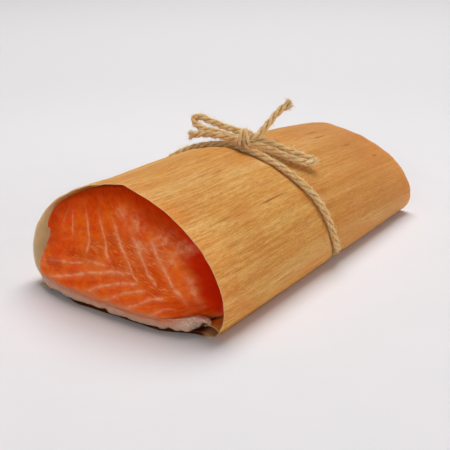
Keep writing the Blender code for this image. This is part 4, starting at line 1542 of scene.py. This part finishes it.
        # Painted shade: the deep colour fills the band just under the roof's rim, where the roof shades the
        # cut, and the fold's crease; the patches add deeper tone of the flesh itself.
        rim = np.where(z > self.centre[1] - self.roof_below, depth, self.far_away)
        deep_and_shade = self.deep_and_shade_share * self.roof_shade_rise.at(rim - self.roof_shade_lumps.at(at))
        deep_and_shade = np.maximum(deep_and_shade, crease)
        deep_and_shade = np.maximum(deep_and_shade, self.deep_patch_share * self.patch_marks(mx, mz, DEEP_PATCHES))
        # Painted shade: the red zone at the right, where the cut turns back inside the roll, stands in for
        # its shadow and the red light bounced inside.
        red_shade = self.red_rise.at(mx + self.red_slant * mz + self.red_lumps.at(at))
        red_shade = np.maximum(red_shade, self.red_rim_share * self.red_rim.at(rim) * self.red_rim_side.at(mx))
        under_fold = (mx < self.rind_left) & (mz < self.fold_tip[1] - self.rind_under_fold)
        low_edge = np.where((mz < self.rind_below) | under_fold, depth, self.far_away)
        rind = self.rind_share * self.rind_rise.at(low_edge - self.rind_lumps.at(at))
        marks = {
            "fat": fat * (1.0 - self.fat_hidden * np.maximum(deep_and_shade, red_shade)),
            "deep_and_shade": deep_and_shade, "red_shade": red_shade, "lower": lower,
            "painted_sheen": self.painted_sheen_marks(mx, mz), "wet": self.patch_marks(mx, mz, WET_PATCHES),
            "whiskers": self.whisker_share * self.patch_marks(mx, mz, WHISKER_PATCHES),
            "rind": rind * (1.0 - self.rind_hidden * red_shade),
        }
        return self.settle(x, y, z), marks

    def fold(self, x: Array, z: Array) -> tuple[Array, Array]:
        """Step where the upper lobe of the cut folds over the lower one, at its left.

        Args:
            x: Places across.
            z: Heights.

        Returns:
            How far the surface stands out, and how far into the crease each point is, which darkens it as
            painted shade.
        """
        along = (x - self.fold_tip[0]) + (z - self.fold_tip[1]) * self.fold_rise
        above = (z - self.fold_tip[1]) - (x - self.fold_tip[0]) * self.fold_rise
        share = smooth_step(1.0 - along / self.fold_run)
        fade = np.exp(-np.abs(above) / self.fold_fade)
        step = self.fold_step * share * (smooth_step(0.5 + above / self.fold_width) - 0.5) * fade
        return step, share * np.exp(-(((above + self.crease_below) / self.crease_width) ** 2))

    def patch_marks(self, x: Array, z: Array, spots: tuple) -> Array:
        """Soft patches on the cut.

        Args:
            x: Places across.
            z: Heights.
            spots: For each patch its middle across and up, its half width and its half height.

        Returns:
            A share for each point.
        """
        most = np.zeros(len(x))
        for middle_x, middle_z, wide, tall in spots:
            gap = np.hypot((x - middle_x) / wide, (z - middle_z) / tall)
            most = np.maximum(most, smooth_step(1.5 - gap))
        return most

    def flakes(self, x: Array, z: Array, lower: Array) -> Array:
        """Low rounded swell of each flake between two fat lines.

        Args:
            x: Places across.
            z: Heights.
            lower: How far each point belongs to the cut's lower half.

        Returns:
            Outward shift of each point, in mm.
        """
        (steep_slant, level_slant), (steep_width, level_width) = self.flake_slants, self.flake_widths
        steep = np.sin(2 * np.pi * (x + steep_slant * z) / steep_width + self.flake_start)
        level = np.sin(2 * np.pi * (z - level_slant * x) / level_width)
        return self.flake_depth * (steep * (1.0 - lower) + self.flake_lower_share * level * lower)

    def painted_sheen_marks(self, x: Array, z: Array) -> Array:
        """Pale patches of painted sheen near the roof of the roll, where the wet cut would catch the light.

        Args:
            x: Places across.
            z: Heights.

        Returns:
            A share for each point.
        """
        most = np.zeros(len(x))
        for middle_x, middle_z, size in PAINTED_SHEEN_SPOTS:
            gap = np.hypot(x - middle_x, (z - middle_z) * self.painted_sheen_squash)
            most = np.maximum(most, np.exp(-((gap / size) ** 2)))
        at = on_cut(x, z)
        return np.clip(most * (self.painted_sheen_even + self.painted_sheen_lumps.at(at)), 0.0, 1.0)

    def build(self) -> Piece:
        """Make the flesh as one solid, with fine meshes over both cuts.

        Returns:
            The finished flesh.
        """
        ring = smooth_path([(x, 0.0, z) for x, z in self.outline], self.outline_step, closed=True)
        pick = np.arange(self.points_round) * len(ring) // self.points_round
        outline = ring[pick][:, (0, 2)]
        front, front_marks = self.cap(outline, Cut.FRONT)
        rear, rear_marks = self.cap(outline, Cut.REAR)
        count = len(outline)
        rows = [front.reshape(-1, count, 3)[::-1]]
        stations = np.concatenate([self.front_stations, np.arange(*self.band_stations), self.rear_stations])
        body = np.array([self.settle(outline[:, 0], np.full(count, y), outline[:, 1]) for y in stations])
        rows += [body, rear.reshape(-1, count, 3)]
        points = np.concatenate(rows).reshape(-1, 3)
        total = len(points) // count
        faces = loft_faces(total, count).tolist()
        marks = {}
        for name in front_marks:
            inside = self.deep_and_shade_behind if name == "deep_and_shade" else 0.0
            marks[name] = np.concatenate([
                front_marks[name].reshape(-1, count)[::-1].ravel(),
                np.full(body.shape[0] * count, inside),
                rear_marks[name],
            ])
        i = np.arange(count)
        after = (i + 1) % count
        for start, first, second in ((0, after, i), ((total - 1) * count, i, after)):
            points = np.vstack([points, points[start:start + count].mean(axis=0)])
            for name in marks:
                marks[name] = np.append(marks[name], marks[name][start:start + count].mean())
            fan = np.stack([start + first, start + second, 0 * i + len(points) - 1], axis=1)
            faces += fan.tolist()
        flesh = make_mesh("salmon_flesh_cut", points, faces, marks)
        flesh.data.materials.append(self.finish.material())
        return flesh


# Twine

@dataclass(frozen=True)
class JuteFibre:
    """Three-ply jute twine, dry and hairy: straw-coloured plies with brown between them, darkened as
    painted shade in the crevices.
    """

    straw: str = "#fac882"
    light: str = "#ffe6b0"
    brown: str = "#bc7830"
    crevice_shade: str = "#9c5818"
    hair: str = "#f2d3a0"

    def ply_material(self) -> Material:
        """Build the plies' material, whose streaks follow each ply's twist.

        Returns:
            The material.
        """
        material, add, shader = new_material("jute_plies", {"Roughness": 0.8, "Specular IOR Level": 0.15})
        place = add(MARK, attribute_name="ply_place", out="Vector")
        # One fibre is under 0.05 mm across, so each streak stands for a few that lie together.
        streaks = Grain((0.16, 0.16, 2.6), 1.2).draw(add, place)
        slubs = Grain((1.2, 1.2, 6.0), 4.8, detail=2.0).draw(add, place)
        outness = add(MARK, attribute_name="outness", out="Fac")
        dark = add(RANGE, {0: streaks, 1: 0.5, 2: 0.0, 3: 0.0, 4: 0.65})
        # Painted shade: darker brown where the plies face the twine's core, in the crevices between them.
        deep_and_shade = add(RANGE, {0: outness, 1: 0.84, 2: 0.55, 3: 0.0, 4: 0.6}, **EASED)
        colour = lay_colours(add, self.straw, (
            (self.light, slubs), (self.brown, dark), (self.crevice_shade, deep_and_shade),
        ))
        bump = add("ShaderNodeBump", {"Height": streaks, "Strength": 0.8, "Distance": 0.15 * MM})
        feed(shader, {"Base Color": colour, "Normal": bump})
        return material

    def hair_material(self) -> Material:
        """Build the loose hairs' material: single pale fibres that let some light through.

        Returns:
            The material.
        """
        material, add, shader = new_material("jute_hair", {
            "Roughness": 0.6, "Specular IOR Level": 0.2,
            "Subsurface Weight": 0.2, "Subsurface Scale": 0.3 * MM,
        })
        place = add("ShaderNodeTexCoord", out="Object")
        share = Grain((3.0, 3.0, 3.0), 0.4, 0.35, 0.65, detail=1.0).draw(add, place)
        feed(shader, {"Base Color": lay_colours(add, self.hair, ((self.light, share),))})
        return material


HAIR_ROOT = (0.0, 0.0, -0.05)
HAIR_BENDS = (
    ((0.25, 0.0, 0.25), (0.95, 0.1, 0.3)), ((0.4, 0.1, 0.1), (0.8, -0.2, 0.55)),
    ((0.1, 0.1, 0.3), (0.55, 0.35, 0.6)), ((0.5, -0.1, 0.3), (1.3, 0.3, 0.05)),
)


def start_tree(name: str, sizes: dict[str, float]) -> tuple[Tree, Adder, dict[str, Socket]]:
    """Start a Geometry Nodes tree.

    Args:
        name: Name of the tree.
        sizes: Name and first value of each number that it takes.

    Returns:
        The tree, the function that adds a node to it, and its inputs by name.
    """
    tree = bpy.data.node_groups.new(name, "GeometryNodeTree")
    face = tree.interface
    face.new_socket("Geometry", in_out="INPUT", socket_type="NodeSocketGeometry")
    face.new_socket("Geometry", in_out="OUTPUT", socket_type="NodeSocketGeometry")
    face.new_socket("Material", in_out="INPUT", socket_type="NodeSocketMaterial")
    for size, value in sizes.items():
        kind = "NodeSocketInt" if isinstance(value, int) else "NodeSocketFloat"
        face.new_socket(size, in_out="INPUT", socket_type=kind).default_value = value
    add = partial(add_node, tree)
    first = add("NodeGroupInput").node
    return tree, add, {socket.name: socket for socket in first.outputs if socket.name}


def end_tree(add: Adder, geometry: Socket, material: Socket) -> None:
    """End a tree with real geometry, smooth and in its material.

    Args:
        add: Adds a node to the tree.
        geometry: What the tree has made.
        material: The tree's material input.
    """
    real = add("GeometryNodeRealizeInstances", {0: geometry})
    smooth = add("GeometryNodeSetShadeSmooth", {0: real})
    dressed = add("GeometryNodeSetMaterial", {0: smooth, "Material": material})
    add("NodeGroupOutput", {0: dressed})


def ply_tree() -> Tree:
    """Build the tree that twists three plies along each route.

    The routes' own radius swells the twine where its end has come undone.

    Returns:
        The tree.
    """
    tree, add, i = start_tree("twisted_plies", {
        "Plies": 3, "Pitch": 0.0125, "Ply Radius": 0.00071, "Ply Reach": 0.0007, "Step": 0.0005,
        "Fibre Pitch": 0.007, "Sides": 18, "Seed": 3, "Frayed Swell": 1.3, "Wobble Scale": 260.0,
        "Slub Scale": 420.0, "Lobe Least": 0.84, "Lobe Most": 1.1, "Ply Offset": 0.37,
    })
    spot = add("GeometryNodeInputPosition")
    even = add("GeometryNodeResampleCurve", {"Curve": i["Geometry"], "Length": i["Step"]}, mode="LENGTH")
    swell = add("GeometryNodeInputRadius")
    fray = add(RANGE, {0: swell, 1: 1.0, 2: i["Frayed Swell"]})
    core = add(STORE, {0: even, "Name": "core", "Value": spot}, **VECTOR_AT_POINT)
    frayed = add(STORE, {0: core, "Name": "fray", "Value": fray}, **FLOAT_AT_POINT)
    plies = add("GeometryNodeDuplicateElements", {0: frayed, "Amount": i["Plies"]}, domain="SPLINE")
    number = plies.node.outputs["Duplicate Index"]
    run = add("GeometryNodeSplineParameter").node.outputs
    whole = add("GeometryNodeSplineLength", out="Length")
    turns = add(MATH, {0: add(MATH, {0: whole, 1: i["Pitch"]}, operation="DIVIDE")}, operation="ROUND")
    start = add(MATH, {0: number, 1: i["Plies"]}, operation="DIVIDE")
    turned = add(MATH, {0: run["Factor"], 1: turns, 2: start}, **TIMES_PLUS)
    angle = add(MATH, {0: turned, 1: -2 * math.pi}, **TIMES)
    arm = add("ShaderNodeVectorRotate", {
        "Vector": add("GeometryNodeInputNormal"), "Axis": add("GeometryNodeInputTangent"), "Angle": angle,
    })
    wobble = add("ShaderNodeTexNoise", {"Scale": i["Wobble Scale"], "Detail": 1.0})
    loose = add(MATH, {0: wobble, 1: 0.4, 2: 0.8}, **TIMES_PLUS)
    loose = add(MATH, {0: loose, 1: swell}, **TIMES)
    reach = add(MATH, {0: i["Ply Reach"], 1: loose}, **TIMES)
    offset = add(VECTOR_MATH, {0: arm, "Scale": reach}, operation="SCALE")
    placed = add("GeometryNodeSetPosition", {0: plies, "Offset": offset})
    slub = add("ShaderNodeTexNoise", {"Scale": i["Slub Scale"], "Detail": 2.0})
    thick = add(MATH, {0: slub, 1: 0.6, 2: 0.7}, **TIMES_PLUS)
    thick = add(MATH, {0: thick, 1: swell}, **TIMES)
    thickened = add("GeometryNodeSetCurveRadius", {0: placed, "Radius": thick})
    fibre_turns = add(MATH, {0: run["Length"], 1: i["Fibre Pitch"]}, operation="DIVIDE")
    tilt = add(MATH, {0: fibre_turns, 1: 2 * math.pi}, **TIMES)
    twisted = add("GeometryNodeSetCurveTilt", {0: thickened, "Tilt": tilt})
    own_start = add(MATH, {0: number, 1: i["Ply Offset"], 2: run["Length"]}, **TIMES_PLUS)
    along = add(STORE, {0: twisted, "Name": "along", "Value": own_start}, **FLOAT_AT_POINT)
    ring = add("GeometryNodeCurvePrimitiveCircle", {"Resolution": i["Sides"], "Radius": i["Ply Radius"]},
               mode="RADIUS")
    lobe = add("FunctionNodeRandomValue", {
        "Min": i["Lobe Least"], "Max": i["Lobe Most"], "Seed": i["Seed"],
    }, out=1, data_type="FLOAT")
    lobed = add(VECTOR_MATH, {0: spot, "Scale": lobe}, operation="SCALE")
    profile = add("GeometryNodeSetPosition", {0: ring, "Position": lobed})
    marked = add(STORE, {0: profile, "Name": "ring_spot", "Value": spot}, **VECTOR_AT_POINT)
    solid = add("GeometryNodeCurveToMesh", {"Curve": along, "Profile Curve": marked, "Fill Caps": True})
    ring_spot = add(READ, {"Name": "ring_spot"}, data_type="FLOAT_VECTOR")
    run_spot = add(READ, {"Name": "along"}, data_type="FLOAT")
    flat = add("ShaderNodeSeparateXYZ", {0: ring_spot}).node.outputs
    together = add("ShaderNodeCombineXYZ", {0: flat["X"], 1: flat["Y"], 2: run_spot})
    stored = add(STORE, {0: solid, "Name": "ply_place", "Value": together}, **VECTOR_AT_POINT)
    middle = add(READ, {"Name": "core"}, data_type="FLOAT_VECTOR")
    away = add(VECTOR_MATH, {0: spot, 1: middle}, out="Value", operation="DISTANCE")
    full = add(MATH, {0: i["Ply Reach"], 1: i["Ply Radius"]}, operation="ADD")
    outness = add(MATH, {0: away, 1: full}, operation="DIVIDE")
    finished = add(STORE, {0: stored, "Name": "outness", "Value": outness}, **FLOAT_AT_POINT)
    end_tree(add, finished, i["Material"])
    return tree


def hair_tree() -> Tree:
    """Build the tree that scatters bent single fibres over the outside of the plies.

    More of them grow where the plies carry the mark of an undone end.

    Returns:
        The tree.
    """
    tree, add, i = start_tree("loose_hairs", {
        "Density": 3200000.0, "Hair Length": 0.0013, "Hair Radius": 0.00003, "Lowest": 0.00004,
        "Outside": 0.8, "Longest": 0.8, "Rarity": 14.0, "Fray Share": 4.0, "Tip Thinning": -0.65,
        "Seed": 11,
    })
    outness = add(READ, {"Name": "outness"}, data_type="FLOAT")
    fray = add(READ, {"Name": "fray"}, data_type="FLOAT")
    shown = add(MATH, {0: outness, 1: i["Outside"]}, operation="GREATER_THAN")
    more = add(MATH, {0: fray, 1: i["Fray Share"], 2: 1.0}, **TIMES_PLUS)
    density = add(MATH, {0: add(MATH, {0: i["Density"], 1: shown}, **TIMES), 1: more}, **TIMES)
    points = add("GeometryNodeDistributePointsOnFaces",
                 {0: i["Geometry"], "Density": density, "Seed": i["Seed"]}, distribute_method="RANDOM")
    joined = add("GeometryNodeGeometryToInstance").node
    length = add("ShaderNodeCombineXYZ", {axis: i["Hair Length"] for axis in range(3)})
    run = add("GeometryNodeSplineParameter", out="Factor")
    taper = add(MATH, {0: run, 1: i["Tip Thinning"], 2: 1.0}, **TIMES_PLUS)
    ring = add("GeometryNodeCurvePrimitiveCircle", {"Resolution": 3, "Radius": i["Hair Radius"]},
               mode="RADIUS")
    for middle, end in HAIR_BENDS:
        bend = add("GeometryNodeCurveQuadraticBezier", {
            "Resolution": 3, "Start": HAIR_ROOT, "Middle": middle, "End": end,
        })
        grown = add("GeometryNodeTransform", {0: bend, "Scale": length})
        tapered = add("GeometryNodeSetCurveRadius", {0: grown, "Radius": taper})
        solid = add("GeometryNodeCurveToMesh", {"Curve": tapered, "Profile Curve": ring, "Fill Caps": True})
        tree.links.new(solid, joined.inputs[0])
    spin = add("FunctionNodeRandomValue", {"Max": 2 * math.pi, "Seed": i["Seed"]}, out=1,
               data_type="FLOAT")
    turned = add("FunctionNodeRotateRotation", {
        0: points.node.outputs["Rotation"], 1: add("ShaderNodeCombineXYZ", {2: spin}),
    }, rotation_space="LOCAL")
    other_seed = add(MATH, {0: i["Seed"], 1: 5.0}, operation="ADD")
    grow = add("FunctionNodeRandomValue", {"Min": 0.0, "Max": 1.0, "Seed": other_seed}, out=1,
               data_type="FLOAT")
    rare = add(MATH, {0: grow, 1: i["Rarity"]}, operation="POWER")
    spread = add(MATH, {0: grow, 1: 0.7, 2: 0.35}, **TIMES_PLUS)
    scale = add(MATH, {0: rare, 1: i["Longest"], 2: spread}, **TIMES_PLUS)
    placed = add("GeometryNodeInstanceOnPoints", {
        "Points": points, "Instance": joined.outputs[0], "Pick Instance": True, "Rotation": turned,
        "Scale": scale,
    })
    real = add("GeometryNodeRealizeInstances", {0: placed})
    at = add("ShaderNodeSeparateXYZ", {0: add("GeometryNodeInputPosition")}).node.outputs
    height = add(MATH, {0: at["Z"], 1: i["Lowest"]}, operation="MAXIMUM")
    lifted = add("ShaderNodeCombineXYZ", {0: at["X"], 1: at["Y"], 2: height})
    clear = add("GeometryNodeSetPosition", {0: real, "Position": lifted})
    end_tree(add, clear, i["Material"])
    return tree


def run_tree(source: Piece, tree: Tree, name: str, sizes: dict) -> Piece:
    """Run a node tree on an object and keep the result as a plain mesh.

    Args:
        source: Object that the tree starts from.
        tree: The node tree.
        name: Name of the new piece.
        sizes: Values for the tree's named inputs.

    Returns:
        A new object, at the origin.
    """
    modifier = source.modifiers.new(tree.name, "NODES")
    modifier.node_group = tree
    for item in tree.interface.items_tree:
        if item.item_type == "SOCKET" and item.in_out == "INPUT" and item.name in sizes:
            modifier[item.identifier] = sizes[item.name]
    graph = bpy.context.evaluated_depsgraph_get()
    graph.update()
    mesh = bpy.data.meshes.new_from_object(source.evaluated_get(graph))
    source.modifiers.remove(modifier)
    mesh.name = name
    return add_object(name, mesh)


@dataclass
class Twine:
    """The jute twine: a band round the roll, a knot and a bow on top of it."""

    roll: Roll
    diameter: float = 2.7
    rest_gap: float = 0.2
    knot_centre: Point = (6.8, -9.6, 48.0)
    knot_axis: Point = (30.0, 11.0, -7.0)
    knot_radius: float = 2.5
    knot_turns: tuple = ((-1.3, 8.0), (1.2, -14.0))
    knot_points: int = 14
    fray_swell: float = 0.45
    fray_run: float = 2.6
    route_step: float = 1.0
    knot_step: float = 0.8
    arch_steps: int = 96
    corner_steps: int = 8
    under_steps: int = 24
    slant_rounds: int = 6
    loop_left: tuple = (
        (8.5, -9.0, 48.6), (3.2, -7.8, 49.8), (-4.8, -6.4, 50.3), (-12.8, -5.2, 51.2),
        (-18.2, -5.0, 52.3), (-20.4, -6.0, 51.5), (-18.6, -7.4, 49.7), (-14.0, -8.6, 48.6),
        (-7.4, -9.6, 48.6), (0.0, -10.0, 48.0), (6.8, -10.0, 47.6),
    )
    loop_right: tuple = (
        (5.5, -9.0, 48.6), (9.5, -4.2, 46.9), (13.5, 0.4, 44.6), (18.8, 4.2, 41.8),
        (22.8, 7.3, 39.8), (25.8, 10.6, 38.1), (27.2, 11.0, 37.1), (26.4, 8.4, 37.2),
        (24.4, 4.2, 38.4), (20.9, 0.7, 40.4), (15.6, -2.8, 43.0), (10.4, -6.4, 45.6),
        (6.0, -9.4, 47.2),
    )
    tail_left: tuple = (
        (7.5, -11.0, 47.6), (3.0, -11.4, 47.6), (-3.5, -11.6, 47.9), (-11.8, -11.0, 47.4),
        (-19.0, -10.6, 45.6),
    )
    tail_right: tuple = (
        (6.2, -9.6, 48.0), (9.9, -5.4, 49.0), (11.4, -2.0, 51.9), (12.8, 1.4, 55.2),
        (14.8, 3.8, 58.2), (17.6, 6.0, 60.4),
    )
    finish: JuteFibre = field(default_factory=JuteFibre)

    def band(self) -> Array:
        """Route of the twine's middle once round the pressed roll.

        Returns:
            One row for each point.
        """
        roll = self.roll
        turn = np.pi * np.arange(self.arch_steps + 1) / self.arch_steps
        y = np.full(len(turn), roll.band_route[0][1])
        for _ in range(self.slant_rounds):
            x, z = roll.arch(y, turn, 0.0)
            y = roll.band_y(x, z)
        arch = np.stack([x, y, z], axis=1)
        turn = np.pi / 2 * np.arange(1, self.corner_steps + 1) / self.corner_steps
        corners = []
        for foot, side in ((arch[-1], -1.0), (arch[0], 1.0)):
            corner_x = foot[0] - side * roll.corner_run * (1.0 - np.cos(turn))
            corner_z = foot[2] * (1.0 - np.sin(turn))
            corners.append(np.stack([corner_x, roll.band_y(corner_x, corner_z), corner_z], axis=1))
        surface = np.vstack([corners[1][::-1], arch, corners[0]])
        k = np.arange(1, self.under_steps) / self.under_steps
        under_x = surface[-1, 0] + (surface[0, 0] - surface[-1, 0]) * k
        under = np.stack([under_x, roll.band_y(under_x, 0 * k), 0 * k], axis=1)
        shape = roll.pressed(*np.vstack([surface, under]).T)
        along = np.roll(shape, -1, axis=0) - np.roll(shape, 1, axis=0)
        outward = np.stack([along[:, 2], 0 * along[:, 0], -along[:, 0]], axis=1)
        outward /= np.linalg.norm(outward, axis=1)[:, None]
        return shape + outward * (self.diameter / 2 + self.rest_gap)

    def knot_turn(self, shift: float, tilt: float) -> Array:
        """One turn of twine round the middle of the bow.

        Args:
            shift: Place of the turn along the knot.
            tilt: How far it leans, in degrees.

        Returns:
            One row for each point.
        """
        axis = Vector(self.knot_axis).normalized()
        across = axis.cross(Vector((0.0, 0.0, 1.0))).normalized()
        up = across.cross(axis).normalized()
        centre = Vector(self.knot_centre) + axis * shift
        points = []
        for k in range(self.knot_points):
            turn = 2 * math.pi * k / self.knot_points
            lean = axis * math.sin(turn) * self.knot_radius * math.tan(math.radians(tilt))
            arm = across * math.cos(turn) + up * math.sin(turn)
            points.append(centre + self.knot_radius * arm + lean)
        return np.array([tuple(p) for p in points])

    def routes(self) -> Piece:
        """Make one curve object that holds every strand's route.

        Returns:
            The curve object.
        """
        data = bpy.data.curves.new("twine_routes", "CURVE")
        data.dimensions = "3D"
        step = self.route_step
        band = [(smooth_path(self.band(), step, closed=True), True)]
        loops = [(smooth_path(strand, step), False) for strand in (self.loop_left, self.loop_right)]
        knot = [(smooth_path(self.knot_turn(shift, tilt), self.knot_step, closed=True), True)
                for shift, tilt in self.knot_turns]
        tails = [(smooth_path(strand, step), False) for strand in (self.tail_left, self.tail_right)]
        for path, closed in band + loops + knot + tails:
            spline = data.splines.new("POLY")
            spline.points.add(len(path) - 1)
            placed = (path - np.array([*FOOTPRINT_SHIFT, 0.0])) * MM
            spline.points.foreach_set("co", np.hstack([placed, np.ones((len(path), 1))]).ravel())
            spline.use_cyclic_u = closed
        for path, spline in zip((tail for tail, _ in tails), data.splines[-len(tails):]):
            to_end = np.linalg.norm(path - path[-1], axis=1)
            swell = 1.0 + self.fray_swell * smooth_step(1.0 - to_end / self.fray_run)
            spline.points.foreach_set("radius", swell)
        return add_object("twine_routes", data)

    def build(self) -> list[Piece]:
        """Make the twisted plies and the loose hairs on them.

        Returns:
            The two pieces.
        """
        routes = self.routes()
        plies = run_tree(routes, ply_tree(), "jute_plies", {"Material": self.finish.ply_material()})
        hairs = run_tree(plies, hair_tree(), "jute_hairs", {"Material": self.finish.hair_material()})
        bpy.data.objects.remove(routes, do_unlink=True)
        return [plies, hairs]


# Studio

@dataclass(frozen=True)
class WhiteBoard:
    """Matt white painted board: even and shadowless, with painted shade that greys it a little further off.
    """

    near: str = "#ebe8ea"
    tooth: str = "#e9e7e9"
    far: str = "#e0dedf"
    horizon_glow: str = "#efedee"
    horizon_glow_strength: float = 0.6

    def material(self) -> Material:
        """Build the board's material, which glows faintly towards the horizon as painted light, so that it
        turns pale there as a backdrop does.

        Returns:
            The material.
        """
        material, add, shader = new_material("matt_white_board", {
            "Roughness": 0.85, "Emission Color": linear(self.horizon_glow),
        })
        place = add("ShaderNodeTexCoord", out="Object")
        tooth = Grain((30.0, 30.0, 30.0), 0.0, detail=2.0).draw(add, place)
        away = add(VECTOR_MATH, {0: place}, out="Value", operation="LENGTH")
        # Painted shade: the board greys a little further off, as the light falls off.
        far = add(RANGE, {0: away, 1: 0.12, 2: 0.4}, **EASED)
        # Painted light: the board glows faintly towards the horizon.
        horizon_glow = add(RANGE, {0: away, 1: 1.15, 2: 2.8, 3: 0.0, 4: self.horizon_glow_strength}, **EASED)
        colour = lay_colours(add, self.near, ((self.tooth, tooth), (self.far, far)))
        feed(shader, {"Base Color": colour, "Emission Strength": horizon_glow})
        return material


@dataclass(frozen=True)
class Lamp:
    """A round soft light that faces the roll, with its place and size in metres and its power in watts."""

    name: str
    place: Point
    size: float
    power: float


@dataclass
class Studio:
    """Pale floor, soft light and the camera at the photograph's view."""

    floor_half: float = 6000.0
    floor_height: float = -0.05
    camera_at: Point = (184.48, -273.576, 132.256)
    camera_turn: Point = (69.365, 0.0, 35.341)
    lens: float = 68.0
    film_width: float = 36.0
    clip: tuple[float, float] = (0.01, 50.0)
    lamps: tuple[Lamp, ...] = (
        Lamp("overhead_softbox", (-0.3, 0.6, 1.8), 1.5, 34.5),
        Lamp("front_fill", (0.85, -2.7, 0.85), 1.0, 17.5),
        Lamp("side_fill", (2.7, 0.6, 0.6), 1.3, 17.0),
        Lamp("spark", (-0.25, -1.55, 0.85), 0.05, 0.9),
    )
    room: str = "#f3f1f1"
    room_low: tuple[float, float] = (0.1, 0.7)
    room_high: tuple[float, float] = (0.35, 0.1)
    board: WhiteBoard = field(default_factory=WhiteBoard)

    def build(self) -> None:
        """Make the floor, the lights, the room and the camera."""
        self.floor()
        for lamp in self.lamps:
            self.light(lamp)
        self.world()
        self.camera()

    def floor(self) -> None:
        """A plain matt floor that runs out of sight."""
        half, low = self.floor_half * MM, self.floor_height * MM
        mesh = bpy.data.meshes.new("studio_floor")
        mesh.from_pydata([(-half, -half, low), (half, -half, low), (half, half, low), (-half, half, low)],
                         [], [(0, 1, 2, 3)])
        mesh.materials.append(self.board.material())
        add_object("studio_floor", mesh)

    def light(self, lamp: Lamp) -> None:
        """Hang one lamp so that it faces the roll.

        Args:
            lamp: Its name, place, size and power.
        """
        light = bpy.data.lights.new(lamp.name, "AREA")
        light.shape = "DISK"
        light.size = lamp.size
        light.energy = lamp.power
        thing = add_object(lamp.name, light)
        thing.location = lamp.place
        thing.rotation_euler = Vector(lamp.place).to_track_quat("Z", "Y").to_euler()

    def world(self) -> None:
        """A dim pale room, brighter near the horizon than overhead."""
        world = bpy.data.worlds.new("pale_room")
        world.use_nodes = True
        background = world.node_tree.nodes["Background"]
        background.inputs["Color"].default_value = linear(self.room)
        add = partial(add_node, world.node_tree)
        up = add("ShaderNodeSeparateXYZ", {0: add("ShaderNodeTexCoord", out="Generated")}, out="Z")
        (low, near), (high, overhead) = self.room_low, self.room_high
        feed(background, {"Strength": add(RANGE, {0: up, 1: low, 2: high, 3: near, 4: overhead})})
        bpy.context.scene.world = world
        bpy.context.scene.view_settings.view_transform = "Standard"

    def camera(self) -> None:
        """The camera at the photograph's place."""
        data = bpy.data.cameras.new("camera")
        data.lens = self.lens
        data.sensor_width = self.film_width
        data.clip_start, data.clip_end = self.clip
        camera = add_object("camera", data)
        camera.location = Vector(self.camera_at) * MM
        camera.rotation_euler = [math.radians(angle) for angle in self.camera_turn]
        bpy.context.scene.camera = camera


def attach(piece: Piece, node: str) -> None:
    """Tie a finished piece to the frame and report it.

    Args:
        piece: The finished piece.
        node: CAD node that it stands for.
    """
    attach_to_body(piece, "root")
    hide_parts(node)
    log.info("%s: %d faces, replaces %s", piece.name, len(piece.data.polygons), node)


def main() -> None:
    """Build every piece of the tied roll."""
    logging.basicConfig(level=logging.INFO, format="%(name)s %(message)s")
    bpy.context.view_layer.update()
    Studio().build()
    roll = Roll()
    attach(CedarSheet(roll).build(), "cedar_wrap")
    skin = SkinLayer(roll)
    attach(skin.build(), "skin_layer")
    attach(Fillet(roll, skin).build(), "salmon_flesh")
    for piece in Twine(roll).build():
        attach(piece, "jute_twine")


if __name__ == "__main__":
    main()
